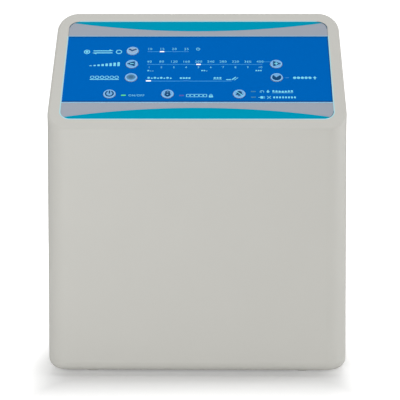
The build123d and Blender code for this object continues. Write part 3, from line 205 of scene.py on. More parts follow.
# Inks of the rocker, the panel and the keys
WHITE_INK = ink("white_ink", srgb(236, 244, 252))
MARK_INK = ink("mark_ink", srgb(132, 230, 255))
BLUE_INK = ink("blue_ink", srgb(0, 104, 194))
TEAL_INK = ink("teal_ink", srgb(0, 157, 191))
RING_INK = ink("ring_ink", srgb(140, 199, 250))
# Ink of the painted highlight along the label's recess edge
EDGE_HIGHLIGHT_INK = ink("edge_highlight_ink", srgb(182, 228, 236))
FACE_INK = ink("face_ink", srgb(122, 182, 234))
FOOT_INK = ink("foot_ink", srgb(156, 206, 236))
NAVY_INK = ink("navy_ink", srgb(14, 82, 148))
# Ink of the painted shade in the label's corners
CORNER_SHADE_INK = ink("corner_shade_ink", srgb(66, 104, 128))
DARK_INK = ink("dark_ink", srgb(26, 76, 122))
SLATE_INK = ink("slate_ink", srgb(92, 138, 172))
LINE_INK = ink("line_ink", srgb(66, 162, 230))

# Lamp windows: two that are lit, and three that are off and let the blue show
LIT_WHITE = lamp_look("lit_white", srgb(250, 252, 255), 0.4)
LIT_GREEN = lamp_look("lit_green", srgb(80, 200, 120), 0.4)
DIM_RED = lamp_look("dim_red", srgb(84, 92, 176), 0.05)
DIM_AMBER = lamp_look("dim_amber", srgb(52, 130, 178), 0.02)
DIM_WHITE = lamp_look("dim_white", srgb(34, 130, 210), 0.02)

# The photograph shows no dark feet under the case, so the feet are pale: painted light against the
# shade they stand in.
FOOT_RUBBER = rubber("foot_rubber", srgb(224, 224, 219))

for part in frame["record"]["subparts"]:
    slots = frame["nodes"][part["node"]].data.materials
    slots.clear()
    slots.append(LOOKS[part["material_slot"]])
frame["nodes"]["rubber_feet"].data.materials[0] = FOOT_RUBBER


# Building blocks

LETTER_SIZE = 1.4
LETTER_SPACING = 1.15
CROWN_STEP_MM = 1.5
CROWN_REACH_MM = 6.0

FRONT_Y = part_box("front_case")[0].y
PANEL = Matrix.Translation((0, FRONT_Y, CREASE_HEIGHT_MM * MM)) @ Matrix.Rotation(TILT, 4, "X")


def outline_curve(outlines, thickness_mm):
    """Flat filled curve in millimetres, with a thickness centred on its plane."""
    curve = bpy.data.curves.new("draft", "CURVE")
    curve.dimensions = "2D"
    curve.fill_mode = "BOTH"
    curve.extrude = thickness_mm / 2
    for outline in outlines:
        spline = curve.splines.new("POLY")
        spline.points.add(len(outline) - 1)
        for point, (x, y) in zip(spline.points, outline):
            point.co = (x, y, 0, 1)
        spline.use_cyclic_u = True
    return curve


def text_curve(text, height_mm, thickness_mm):
    """Flat filled text in millimetres, centred on its origin; a font is larger than its digits."""
    curve = bpy.data.curves.new("draft", "FONT")
    curve.body = text
    curve.size = height_mm * LETTER_SIZE
    curve.align_x = "CENTER"
    curve.align_y = "CENTER"
    curve.extrude = thickness_mm / 2
    curve.resolution_u = 3
    curve.space_character = LETTER_SPACING
    return curve


def curve_mesh(curve):
    """The mesh that a curve gives; the curve itself is removed."""
    draft = bpy.data.objects.new("draft", curve)
    mesh = bpy.data.meshes.new_from_object(draft)
    bpy.data.objects.remove(draft)
    bpy.data.curves.remove(curve)
    return mesh


class Print:
    """One printed piece on the panel or on a key: flat shapes that share a material."""

    def __init__(self, name, material, level_mm, body="case", thickness_mm=0.05):
        self.name = name
        self.material = material
        self.level = level_mm
        self.body = body
        self.thickness = thickness_mm
        self.form = bmesh.new()

    def add(self, curve, u=0.0, v=0.0):
        mesh = curve_mesh(curve)
        mesh.transform(Matrix.Translation((u, v, 0)))
        self.form.from_mesh(mesh)
        bpy.data.meshes.remove(mesh)

    def shape(self, *outlines):
        self.add(outline_curve(outlines, self.thickness))

    def text(self, text, height_mm, u, v):
        self.add(text_curve(text, height_mm, self.thickness), u, v)

    def divide(self):
        """Cuts the shapes into small faces that can follow a crown."""
        count = int(2 * CROWN_REACH_MM / CROWN_STEP_MM)
        for way in ((1, 0, 0), (0, 1, 0)):
            for n in range(1, count):
                middle = Vector(way) * (n * CROWN_STEP_MM - CROWN_REACH_MM)
                geometry = self.form.verts[:] + self.form.edges[:] + self.form.faces[:]
                bmesh.ops.bisect_plane(self.form, geom=geometry, plane_co=middle, plane_no=way)

    def finish(self, lift=None, place=PANEL):
        """Makes the piece; lift gives the height of a crowned surface under it."""
        if lift:
            self.divide()
        for vert in self.form.verts:
            rise = lift(vert.co.x, vert.co.y) if lift else 0.0
            vert.co.z += self.level + rise
        bmesh.ops.recalc_face_normals(self.form, faces=self.form.faces)
        mesh = bpy.data.meshes.new(self.name)
        self.form.to_mesh(mesh)
        self.form.free()
        mesh.transform(place @ Matrix.Scale(MM, 4))
        mesh.materials.append(self.material)
        piece = bpy.data.objects.new(self.name, mesh)
        bpy.context.collection.objects.link(piece)
        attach(piece, self.body)


def arc(radius, start, end, steps, x=0.0, y=0.0):
    """Points on an arc, with its ends in degrees."""
    turns = [math.radians(start + (end - start) * n / steps) for n in range(steps + 1)]
    return [(x + radius * math.cos(a), y + radius * math.sin(a)) for a in turns]


def circle(radius, steps=40, x=0.0, y=0.0):
    return arc(radius, 0, 360, steps, x, y)[:-1]


def bar(width, height, corner, x=0.0, y=0.0):
    """Rounded rectangle."""
    w = width / 2 - corner
    h = height / 2 - corner
    corners = [(w, h, 0), (-w, h, 90), (-w, -h, 180), (w, -h, 270)]
    points = []
    for cx, cy, start in corners:
        points += arc(corner, start, start + 90, 5, x + cx, y + cy)
    return points


def band(points, width):
    """Outline of a line of even width through the points, with mitred bends."""
    left, right = [], []
    last = len(points) - 1
    for n, point in enumerate(points):
        here = Vector(point)
        before = (here - Vector(points[n - 1])).normalized() if n > 0 else None
        after = (Vector(points[n + 1]) - here).normalized() if n < last else None
        before = before or after
        after = after or before
        middle = (before + after).normalized()
        side = Vector((-middle.y, middle.x)) * (width / 2 / max(middle.dot(before), 0.4))
        left.append(tuple(here + side))
        right.append(tuple(here - side))
    return left + right[::-1]


# Panel prints

LABEL_LOW, LABEL_HIGH = 13.2, 147.4
LABEL_HALF = 123.0
LABEL_CORNER = 9.5
CORNER_U = LABEL_HALF - LABEL_CORNER
CORNER_LOW, CORNER_HIGH = LABEL_LOW + LABEL_CORNER, LABEL_HIGH - LABEL_CORNER
PRINT_MARGIN = 0.02
PRINT_WIDTH = 2 * (LABEL_HALF - PRINT_MARGIN)
BAND_LOW, BAND_HIGH = 35.3, 126.0

# Arches of the teal shapes: v at the middle, v at the ends and u of the ends
HIGH_ARCH = (133.5, 145.0, 116.5)
LOW_ARCH = (27.6, 16.0, 118.5)
TEAL_REACH = 119.0

KEY_RADIUS = 5.5
KEY_HOLE = 5.85
LEFT_KEYS, RIGHT_KEYS = -61.2, 73.0
TIMER_ROW, PRESSURE_ROW, MODE_ROW, POWER_ROW = 105.0, 86.5, 68.0, 45.8
KEY_PLACES = {
    "key_timer": (LEFT_KEYS, TIMER_ROW),
    "key_softer": (LEFT_KEYS, PRESSURE_ROW),
    "key_mode": (LEFT_KEYS, MODE_ROW),
    "key_firmer": (RIGHT_KEYS, PRESSURE_ROW),
    "key_auto": (RIGHT_KEYS, MODE_ROW),
    "key_power": (-80.0, POWER_ROW),
    "key_lock": (-27.0, POWER_ROW),
    "key_mute": (38.3, POWER_ROW),
}

# Heights over the panel's plane
FILM_TOP = -0.2
INK_LEVEL = FILM_TOP + 0.03
MARK_LEVEL = FILM_TOP + 0.08
WINDOW_LEVEL = MARK_LEVEL + 0.03
# Level of the painted highlight at the recess edge, on the case
EDGE_HIGHLIGHT_LEVEL = 0.03


def label_edge(u, inset):
    """Lowest and highest v of the label at u, less an inset."""
    reach = max(abs(u) - CORNER_U, 0.0)
    corner = LABEL_CORNER - inset
    rise = LABEL_CORNER - math.sqrt(max(corner ** 2 - reach ** 2, 0.0))
    return LABEL_LOW + rise, LABEL_HIGH - rise


def arch(u, middle_v, end_v, end_u):
    """Height at u of the circle through the middle and both ends."""
    sag = end_v - middle_v
    radius = (end_u ** 2 + sag ** 2) / (2 * sag)
    return middle_v + radius - math.copysign(math.sqrt(radius ** 2 - u ** 2), radius)


def blue_band():
    """Blue band over the full width, with a hole round each key."""
    piece = Print("blue_band", BLUE_INK, INK_LEVEL)
    half = LABEL_HALF - PRINT_MARGIN
    sheet = [(-half, BAND_LOW), (half, BAND_LOW), (half, BAND_HIGH), (-half, BAND_HIGH)]
    holes = [circle(KEY_HOLE, 40, u, v) for u, v in KEY_PLACES.values()]
    piece.shape(sheet, *holes)
    piece.finish()


def teal_segments():
    """Teal shapes between an arch and the label's top edge, and another and its low edge."""
    piece = Print("teal_segments", TEAL_INK, INK_LEVEL)
    steps = 60
    across = [TEAL_REACH * (2 * n / steps - 1) for n in range(steps + 1)]
    high_arch = [(u, arch(u, *HIGH_ARCH)) for u in across]
    high_edge = [(u, label_edge(u, PRINT_MARGIN)[1]) for u in reversed(across)]
    piece.shape(high_arch + high_edge)
    low_arch = [(u, arch(u, *LOW_ARCH)) for u in reversed(across)]
    low_edge = [(u, label_edge(u, PRINT_MARGIN)[0]) for u in across]
    piece.shape(low_edge + low_arch)
    piece.finish()


def painted_edge_highlight():
    """Painted highlight of the recess edge just outside the label, open at the sides above the
    blue band.
    """
    out = 0.45
    half = LABEL_HALF + out
    corner = LABEL_CORNER + out
    piece = Print("edge_highlight_lines", EDGE_HIGHLIGHT_INK, EDGE_HIGHLIGHT_LEVEL)
    left = [(-half, BAND_HIGH)] + arc(corner, 180, 270, 10, -CORNER_U, CORNER_LOW)
    right = arc(corner, 270, 360, 10, CORNER_U, CORNER_LOW) + [(half, BAND_HIGH)]
    piece.shape(band(left + right, 1.0))
    top = LABEL_HIGH + 0.55
    piece.shape(band([(-CORNER_U, top), (CORNER_U, top)], 1.2))
    piece.finish()


def band_lines():
    """Pale lines outside the blue band; dark ones at its foot and top, and painted shade at its
    right side.
    """
    pale = Print("foot_lines", FOOT_INK, MARK_LEVEL)
    pale.shape(bar(PRINT_WIDTH, 1.1, 0.1, 0, BAND_LOW - 0.55))
    pale.shape(bar(PRINT_WIDTH, 0.9, 0.1, 0, BAND_HIGH + 0.4))
    pale.finish()
    navy = Print("navy_lines", NAVY_INK, MARK_LEVEL)
    navy.shape(bar(PRINT_WIDTH, 1.7, 0.1, 0, BAND_LOW + 0.85))
    navy.shape(bar(PRINT_WIDTH, 1.3, 0.1, 0, BAND_HIGH - 0.7))
    tall, middle = BAND_HIGH - BAND_LOW, (BAND_LOW + BAND_HIGH) / 2
    # The dark line at the right side is painted shade of the label's recess wall.
    navy.shape(bar(0.9, tall, 0.1, PRINT_WIDTH / 2 - 0.5, middle))
    navy.finish()


def painted_corner_shade():
    """Painted shade of the recess walls: dark lines inside three of the label's corners."""
    radius = LABEL_CORNER - 0.35
    piece = Print("corner_shade_lines", CORNER_SHADE_INK, MARK_LEVEL)
    piece.shape(band(arc(radius, -5, 100, 12, CORNER_U, CORNER_HIGH), 0.6))
    piece.shape(band(arc(radius, 300, 365, 10, CORNER_U, CORNER_LOW), 0.5))
    piece.shape(band(arc(radius, 100, 175, 10, -CORNER_U, CORNER_HIGH), 0.4))
    piece.finish()


# Rows of the scales: their numbers, lines and marks
SCALE_START, SCALE_PITCH = -45.0, 11.45
TIMER_MINUTES = (10, 15, 20, 25)
TIMER_NUMBERS, TIMER_LINE = 107.8, 104.2
PRESSURES = range(40, 401, 40)
PRESSURE_NUMBERS, PRESSURE_LINE, STEP_NUMBERS, FIRMNESS_MARKS = 90.0, 86.2, 82.2, 77.7
MODE_MARKS, MODE_WINDOWS, MODE_LINE = 67.4, 63.6, 63.3


def on_scale(n):
    """u of the place n of a scale."""
    return SCALE_START + SCALE_PITCH * n


def scale_marks():
    """Numbers and small marks of the three scales, and the marks beside keys and lamps."""
    piece = Print("scale_marks", MARK_INK, MARK_LEVEL)
    for n, minutes in enumerate(TIMER_MINUTES):
        piece.text(str(minutes), 2.9, on_scale(n), TIMER_NUMBERS)
    for n, pressure in enumerate(PRESSURES):
        piece.text(str(pressure), 2.9, on_scale(n), PRESSURE_NUMBERS)
        piece.text(str(n + 1), 2.5, on_scale(n), STEP_NUMBERS)
    piece.text("ON/OFF", 2.6, -55.4, 43.9)
    clock_icon(piece, 0.3, TIMER_NUMBERS, 1.9)
    for u, steps in ((-43.5, 1), (6.3, 2), (56.5, 3)):
        firmness_icon(piece, u, FIRMNESS_MARKS, steps)
    wave_icon(piece, -34.8, MODE_MARKS)
    flat_icon(piece, -11.3, MODE_MARKS)
    seat_icon(piece, 31.0, 66.6)
    rest_icon(piece, 18.5, MODE_MARKS)
    cycle_icon(piece, -89.0, 103.9)
    comfort_icon(piece, -86.5, 86.4)
    mattress_icon(piece, -85.8, 67.9)
    lock_icon(piece, 2.5, 43.8)
    low_air_icon(piece, 62.5, 49.2)
    plug_icon(piece, 62.5, 41.4)
    firm_icon(piece, 95.0, 67.8)
    piece.finish()


def arrow(u, v, way, reach, wing, neck):
    """Outline of an arrow that points up, or down where way is -1."""
    shaft = 0.6
    return [
        (u, v + way * reach),
        (u - way * wing, v - way * neck),
        (u - way * shaft, v - way * neck),
        (u - way * shaft, v - way * reach),
        (u + way * shaft, v - way * reach),
        (u + way * shaft, v - way * neck),
        (u + way * wing, v - way * neck),
    ]


def clock_icon(piece, u, v, radius):
    """Clock face with two hands."""
    piece.shape(circle(radius, 28, u, v), circle(radius - 0.45, 28, u, v))
    hands = [(u - 0.1, v + 0.65 * radius), (u - 0.1, v - 0.1), (u + 0.6 * radius, v - 0.1)]
    piece.shape(band(hands, 0.4))


def firmness_icon(piece, u, v, steps):
    """Row of three bars, as many of them tall as steps says."""
    for n in range(3):
        height = 0.5 if n >= steps else 1.5
        piece.shape(bar(1.5, height, 0.2, u + 2.1 * (n - 1), v - 0.75 + height / 2))


def wave_icon(piece, u, v):
    """Row of cells that rise and fall by turns."""
    for n in range(8):
        radius, rise = ((1.25, 0.3), (0.85, -0.2))[n % 2]
        piece.shape(circle(radius, 18, u + 2.9 * (n - 3.5), v + rise))


def flat_icon(piece, u, v):
    """Row of even cells."""
    for n in range(4):
        piece.shape(circle(1.1, 18, u + 2.6 * (n - 1.5), v))


def seat_icon(piece, u, v):
    """Raised backrest and level base."""
    piece.shape(bar(4.6, 1.1, 0.4, u - 2.3, v - 1.2))
    piece.shape(band([(u + 0.7, v - 1.5), (u + 4.4, v + 2.2)], 1.1))
    piece.shape(band([(u + 3.0, v - 1.9), (u + 6.4, v + 1.5)], 0.6))


def rest_icon(piece, u, v):
    """Level base under a row of cells."""
    for n in range(3):
        piece.shape(circle(1.0, 18, u + 2.6 * (n - 1), v + 0.3))
    piece.shape(bar(8.0, 0.5, 0.2, u, v - 1.4))


def cycle_icon(piece, u, v):
    """Full cell and empty cell, with an arrow each way between them."""
    for side in (-1, 1):
        cell = u + side * 15.0
        piece.shape(circle(2.9, 28, cell, v), circle(2.0, 28, cell, v))
    piece.shape(circle(1.3, 20, u - 15.0, v))
    for side in (-1, 1):
        level = v + side * 1.4
        tip = u + side * 10.0
        piece.shape([
            (tip, level),
            (tip - side * 4.0, level + side * 1.9),
            (tip - side * 4.0, level + side * 0.6),
            (tip - side * 19.0, level + side * 0.6),
            (tip - side * 19.0, level - side * 0.6),
            (tip - side * 4.0, level - side * 0.6),
        ])


def comfort_icon(piece, u, v):
    """Wedge that grows from soft to firm."""
    for n in range(8):
        height = 0.9 + 0.62 * n
        piece.shape(bar(2.2, height, 0.25, u + 3.7 * (n - 3.5), v - 2.4 + height / 2))


def mattress_icon(piece, u, v):
    """Mattress in section: a row of cells over a base line."""
    for n in range(6):
        cell = u + 4.5 * (n - 2.5)
        piece.shape(circle(2.0, 24, cell, v + 0.6), circle(1.35, 24, cell, v + 0.6))
    piece.shape(bar(27.0, 0.8, 0.3, u, v - 2.4))


def padlock(piece, u, v):
    """Closed padlock with a keyhole."""
    shackle = arc(1.25, 0, 180, 14, u, v + 0.8)
    inner = arc(0.75, 180, 0, 14, u, v + 0.8)
    low = v + 0.1
    left_leg = [(u - 1.25, low), (u - 0.75, low)]
    piece.shape([(u + 1.25, low)] + shackle + left_leg + inner + [(u + 0.75, low)])
    piece.shape(bar(3.6, 2.5, 0.35, u, v - 1.2), circle(0.45, 14, u, v - 1.1))


def lock_icon(piece, u, v):
    """Panel with its keys, and a padlock."""
    padlock(piece, u + 10.0, v)
    piece.shape(bar(19.0, 3.8, 0.7, u - 3.0, v), bar(17.8, 2.6, 0.4, u - 3.0, v))
    for n in range(4):
        piece.shape(circle(0.75, 16, u - 3.0 + 4.0 * (n - 1.5), v))


def low_air_icon(piece, u, v):
    """Gauge with a low pointer, an arrow down and a mattress that sags."""
    dial = arc(1.9, -30, 210, 24, u - 3.5, v - 0.4)
    inner = arc(1.4, 210, -30, 24, u - 3.5, v - 0.4)
    piece.shape(dial + inner)
    piece.shape(band([(u - 3.4, v - 0.2), (u - 4.5, v - 1.2)], 0.45))
    piece.shape(arrow(u + 2.0, v, -1, 1.9, 1.6, 0.1))
    for n in range(7):
        drop = 0.25 * (3 - abs(n - 3))
        piece.shape(circle(1.1, 18, u + 7.0 + 2.8 * n, v + 0.6 - drop))
    piece.shape(bar(19.0, 0.5, 0.2, u + 15.4, v - 1.6))


def plug_icon(piece, u, v):
    """Mains plug and a cross, beside a mattress that stays full."""
    piece.shape(bar(2.6, 3.0, 0.6, u - 3.8, v))
    for side in (-1, 1):
        piece.shape(bar(1.6, 0.5, 0.15, u - 1.6, v + 0.8 * side))
    piece.shape(band([(u - 7.0, v), (u - 5.3, v)], 0.5))
    piece.shape(band([(u + 1.2, v - 1.6), (u + 4.4, v + 1.6)], 0.6))
    piece.shape(band([(u + 1.2, v + 1.6), (u + 2.5, v + 0.3)], 0.6))
    piece.shape(band([(u + 3.1, v - 0.3), (u + 4.4, v - 1.6)], 0.6))
    for n in range(8):
        piece.shape(bar(1.7, 2.4, 0.6, u + 7.4 + 2.7 * n, v))


def firm_icon(piece, u, v):
    """Firm cells with an arrow up."""
    for n in range(5):
        piece.shape(circle(1.5, 22, u - 5.5 + 3.5 * n, v))
    piece.shape(arrow(u + 13.0, v, 1, 2.0, 1.8, 0.2))


def scale_lines():
    """Thin lines that join the lamps of each scale, and one that leads to a key."""
    piece = Print("scale_lines", LINE_INK, MARK_LEVEL)
    piece.shape(bar(37.0, 0.65, 0.2, -28.5, TIMER_LINE))
    piece.shape(bar(107.0, 0.65, 0.2, 6.5, PRESSURE_LINE))
    piece.shape(bar(77.0, 0.75, 0.2, -9.5, MODE_LINE))
    piece.shape(bar(8.0, 0.6, 0.2, 64.0, 89.8))
    piece.finish()


def scale_windows():
    """Lamp windows of the scales, one of each scale lit, and the one beside the auto key."""
    lit = Print("lit_windows", LIT_WHITE, WINDOW_LEVEL)
    dim = Print("dim_windows", DIM_WHITE, WINDOW_LEVEL)
    rows = (
        (range(len(TIMER_MINUTES)), 1, TIMER_LINE, 4.2, 1.4),
        (range(len(PRESSURES)), 4, PRESSURE_LINE, 4.2, 1.4),
        ((0, 3, 6.5), 0, MODE_WINDOWS, 4.6, 1.5),
    )
    for places, lit_place, v, width, height in rows:
        for n in places:
            piece = lit if n == lit_place else dim
            piece.shape(bar(width, height, 0.3, on_scale(n), v))
    dim.shape(bar(3.4, 1.3, 0.3, 82.5, 67.9))
    lit.finish()
    dim.finish()


def signal_windows():
    """Lamp windows beside the keys of the lowest row: green lit, red and amber off."""
    for name, look, places in (
        ("green_window", LIT_GREEN, [(-67.2, 44.2)]),
        ("red_window", DIM_RED, [(-14.2, 43.9)]),
        ("amber_windows", DIM_AMBER, [(51.1, 49.2), (51.1, 41.6)]),
    ):
        piece = Print(name, look, WINDOW_LEVEL)
        for u, v in places:
            piece.shape(bar(4.4, 1.5, 0.3, u, v))
        piece.finish()


# Key faces

KEY_FACE_EDGE = 0.35
KEY_CROWN = 0.35
KEY_SPHERE = (KEY_RADIUS ** 2 + KEY_CROWN ** 2) / (2 * KEY_CROWN)
KEY_PRINT_MM = 0.04

# Levels of a key's inks over its crown
FACE, SYMBOL, SIGN = 0.0, 0.03, 0.08


def key_crown(x, y):
    """Height of a key's crowned face over its edge."""
    return KEY_CROWN - (x * x + y * y) / (2 * KEY_SPHERE)


def key_print(key, part, material, level_mm, *shapes):
    """Print that follows a key's crown; each shape is a list of outlines."""
    u, v = KEY_PLACES[key]
    face = Print(key + part, material, KEY_FACE_EDGE + level_mm, key, KEY_PRINT_MM)
    for outlines in shapes:
        face.shape(*outlines)
    face.finish(lift=key_crown, place=PANEL @ Matrix.Translation((u * MM, v * MM, 0)))


def key_rounds():
    """Ring of every key, and the blue disc inside it on all but the timer's."""
    for key in KEY_PLACES:
        key_print(key, "_ring", RING_INK, SYMBOL, [circle(5.42, 48), circle(4.4, 48)])
        if key != "key_timer":
            key_print(key, "_face", FACE_INK, FACE, [circle(4.45, 48)])


def scale_key_icons():
    """Clock hands, the arrows with minus and plus, and the lens with its lines."""
    hands = band([(-3.4, 2.2), (-0.4, -0.3), (3.6, 2.0)], 1.6)
    key_print("key_timer", "_hands", DARK_INK, SYMBOL, [hands])
    for key, side in (("key_softer", -1), ("key_firmer", 1)):
        point = [(side * 4.7, 0), (-side * 2.8, 3.7), (-side * 2.8, -3.7)][::side]
        key_print(key, "_arrow", DARK_INK, SYMBOL, [point])
        strokes = [[bar(3.4, 1.1, 0.2, -side * 0.1, 0)]]
        if side > 0:
            strokes += [[bar(1.0, 1.3, 0.2, -side * 0.1, level)] for level in (-1.1, 1.1)]
        key_print(key, "_sign", MARK_INK, SIGN, *strokes)
    lens = arc(4.3, 12, 168, 20, 0, -0.9) + arc(4.3, 192, 348, 20, 0, 0.9)
    key_print("key_mode", "_lens", SLATE_INK, SYMBOL, [lens])
    lines = [[bar(4.6 - 1.6 * abs(n - 1), 0.4, 0.15, 0, 1.15 * (n - 1))] for n in range(3)]
    key_print("key_mode", "_cells", DARK_INK, SIGN, *lines)


def switch_key_icons():
    """Power symbol, padlock, peak of the auto key and struck-out bell."""
    ring = arc(4.1, 118, 422, 34) + arc(2.8, 422, 118, 34)
    key_print("key_power", "_symbol", DARK_INK, SYMBOL, [ring], [bar(1.3, 4.4, 0.3, 0, 2.0)])
    shackle = [circle(2.2, 26, 0, 1.7), circle(0.9, 20, 0, 1.9)]
    body = [circle(2.8, 30, 0, -1.3), circle(0.8, 18, 0, -1.2)]
    key_print("key_lock", "_padlock", DARK_INK, SYMBOL, shackle, body)
    right_slope = [(4.2, 1.0), (3.3, 2.8), (1.4, 1.2), (-0.5, -0.6)]
    left_slope = [(-2.6, 2.4), (-3.4, 2.8), (-4.2, 1.0)]
    peak = right_slope + left_slope + arc(4.3, 193, 347, 18)
    key_print("key_auto", "_peak", DARK_INK, SYMBOL, [peak])
    dome = arc(2.4, 180, 0, 16, 0, 1.0)
    bell = [(-3.7, -1.9), (-2.4, -0.6)] + dome + [(2.4, -0.6), (3.7, -1.9)]
    key_print("key_mute", "_bell", DARK_INK, SYMBOL, [bell], [bar(2.2, 1.0, 0.3, 0, -2.9)])
    strike = band([(-3.2, 3.2), (3.3, -3.1)], 0.8)
    key_print("key_mute", "_strike", MARK_INK, SIGN, [strike])


# Screw heads with a cross recess

# Arms of the cross, as shares of the flat top's radius
CROSS_REACH, CROSS_HALF = 0.8, 0.2
RECESS_FLOOR_MM = 0.1
MERGE_MM = 0.01
SCREW_TURN_DEG = 37
PAN_HEIGHT_MM = 2.0
PAN_PROFILE = [(3.0, 0.0), (3.0, 0.9), (2.85, 1.4), (2.5, 1.8), (2.0, PAN_HEIGHT_MM)]
FLAT_PROFILE = [(1.5, -1.5), (2.9, -0.1), (2.8, 0.0), (1.8, 0.0)]


def islands(node):
    """Low and high corner of each separate solid of a node, in metres."""
    form = bmesh.new()
    form.from_mesh(frame["nodes"][node].data)
    bmesh.ops.remove_doubles(form, verts=form.verts, dist=MERGE_MM * MM)
    left = set(form.verts)
    boxes = []
    while left:
        found = [left.pop()]
        for vert in found:
            near = {edge.other_vert(vert) for edge in vert.link_edges} & left
            left -= near
            found.extend(near)
        ways = [[vert.co[way] for vert in found] for way in range(3)]
        boxes.append((Vector(min(way) for way in ways), Vector(max(way) for way in ways)))
    form.free()

    # The set gives its members in no fixed order, so the solids are sorted by place.
    return sorted(boxes, key=lambda box: [round(value / MM) for value in box[0]])


def facing(place, out):
    """Matrix that sets a form drawn with Z outwards at a place, upright."""
    out = Vector(out)
    across = Vector((0, 0, 1)).cross(out)
    turn = Matrix((across, (0, 0, 1), out)).transposed().to_4x4()
    return Matrix.Translation(place) @ turn


def cross_outline(reach, half):
    """Outline of an upright cross."""
    quarter = [(reach, half), (half, half), (half, reach)]
    points = []
    for _ in range(4):
        points += quarter
        quarter = [(-y, x) for x, y in quarter]
    return points


def lathe(form, profile, steps=40):
    """Surface of revolution round Z through pairs of radius and height."""
    rings = []
    for radius, height in profile:
        turns = [2 * math.pi * n / steps for n in range(steps)]
        rings.append([
            form.verts.new((radius * math.cos(a), radius * math.sin(a), height)) for a in turns
        ])
    for low, high in zip(rings, rings[1:]):
        for n in range(steps):
            form.faces.new((low[n - 1], low[n], high[n], high[n - 1]))


def screw_head(profile, recess_mm):
    """Screw head in millimetres: turned outside, flat top and a cross recess in it."""
    head = bmesh.new()
    lathe(head, profile)
    top_radius, top = profile[-1]
    cross = cross_outline(CROSS_REACH * top_radius, CROSS_HALF * top_radius)
    plate = curve_mesh(outline_curve([circle(top_radius), cross], recess_mm))
    plate.transform(Matrix.Translation((0, 0, top - recess_mm / 2)))
    head.from_mesh(plate)
    base = curve_mesh(outline_curve([circle(top_radius)], RECESS_FLOOR_MM))
    base.transform(Matrix.Translation((0, 0, top - recess_mm)))
    head.from_mesh(base)
    mesh = bpy.data.meshes.new("draft")
    head.to_mesh(mesh)
    head.free()
    return mesh


def screw_heads(node, profile, recess_mm, places):
    """Screw heads that stand for a node's plain ones, each turned its own way."""
    form = bmesh.new()
    head = screw_head(profile, recess_mm)
    for count, place in enumerate(places):
        copy = head.copy()
        spin = Matrix.Rotation(math.radians(SCREW_TURN_DEG * count), 4, "Z")
        copy.transform(place @ spin @ Matrix.Scale(MM, 4))
        form.from_mesh(copy)
    bmesh.ops.recalc_face_normals(form, faces=form.faces)
    mesh = bpy.data.meshes.new(node + "_heads")
    form.to_mesh(mesh)
    form.free()
    mesh.materials.append(LOOKS["screw_steel"])
    for face in mesh.polygons:
        face.use_smooth = False
    piece = bpy.data.objects.new(node + "_heads", mesh)
    bpy.context.collection.objects.link(piece)
    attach(piece, "case")
    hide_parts(node)


def cover_screw_heads():
    """Pan heads on the rear cover."""
    places = []
    for low, high in islands("cover_screws"):
        middle = (low + high) / 2
        places.append(facing((middle.x, high.y - PAN_HEIGHT_MM * MM, middle.z), (0, 1, 0)))
    screw_heads("cover_screws", PAN_PROFILE, 1.2, places)


def flange_screw_heads():
    """Countersunk heads in the flanges of the mains inlet and the air port."""
    places = []
    for low, high in islands("flange_screws"):
        middle = (low + high) / 2
        side = -1 if middle.x < 0 else 1
        outer = low.x if side < 0 else high.x
        places.append(facing((outer, middle.y, middle.z), (side, 0, 0)))
    screw_heads("flange_screws", FLAT_PROFILE, 0.9, places)


# Marks on the rocker

# Most that a finger face's normal may have along x
FACE_TURN = -0.85


def rocker_marks():
    """Line and ring on the two finger faces of the rocker."""
    mesh = frame["nodes"]["rocker"].data
    low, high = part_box("rocker")
    half_height = (low.z + high.z) / 2
    for name, upper in (("rocker_line", True), ("rocker_ring", False)):
        faces = [
            face for face in mesh.polygons
            if face.normal.x < FACE_TURN and (face.center.z > half_height) == upper
        ]
        area = sum(face.area for face in faces)
        middle = sum((face.center * face.area for face in faces), Vector()) / area
        out = sum((face.normal * face.area for face in faces), Vector()).normalized()
        up = Vector((0, 0, 1)) - out * out.z
        up.normalize()
        turn = Matrix((up.cross(out), up, out)).transposed().to_4x4()
        mark = Print(name, WHITE_INK, 0.02, body="rocker")
        if upper:
            mark.shape(bar(1.1, 5.0, 0.3))
        else:
            mark.shape(circle(2.4, 32), circle(1.5, 32))
        mark.finish(place=Matrix.Translation(middle) @ turn)


# Stage, lights and camera

FLOOR_HALF = 30.0
FLOOR_GREY = 0.93
# Line under the case's front, where the floor's painted glow lightens the shadow
FOOT_LINE_Y = -0.045

# Camera fitted to the photograph, turned in degrees
CAMERA_PLACE = (0.0184, FRONT_Y - 1.2711, 0.3617)
CAMERA_TURN_DEG = (90 - 8.873, 0.051, 0.690)
LENS_MM, SENSOR_MM = 129.3, 36.0


def empty_tree(owner):
    """Node tree of a world or a material, with nothing in it."""
    owner.use_nodes = True
    owner.node_tree.nodes.clear()
    return owner.node_tree


def combined(tree, operation, first, second):
    """Output of a math node that joins two sockets."""
    node = tree.nodes.new("ShaderNodeMath")
    node.operation = operation
    tree.links.new(first, node.inputs[0])
    tree.links.new(second, node.inputs[1])
    return node.outputs[0]


def background(tree, strength):
    """White background shader of a world."""
    node = tree.nodes.new("ShaderNodeBackground")
    node.inputs["Color"].default_value = (1, 1, 1, 1)
    node.inputs["Strength"].default_value = strength
    return node.outputs[0]


def white_world(strength):
    """World that is white where it is seen, mirrored or seen through, and lights the object."""
    world = bpy.data.worlds.new("studio")
    bpy.context.scene.world = world
    tree = empty_tree(world)
    out = tree.nodes.new("ShaderNodeOutputWorld")
    mix = tree.nodes.new("ShaderNodeMixShader")
    rays = tree.nodes.new("ShaderNodeLightPath").outputs
    either = combined(tree, "MAXIMUM", rays["Is Camera Ray"], rays["Is Glossy Ray"])
    seen = combined(tree, "MAXIMUM", either, rays["Is Transmission Ray"])
    tree.links.new(seen, mix.inputs[0])
    tree.links.new(background(tree, strength), mix.inputs[1])
    tree.links.new(background(tree, 1.0), mix.inputs[2])
    tree.links.new(mix.outputs[0], out.inputs[0])


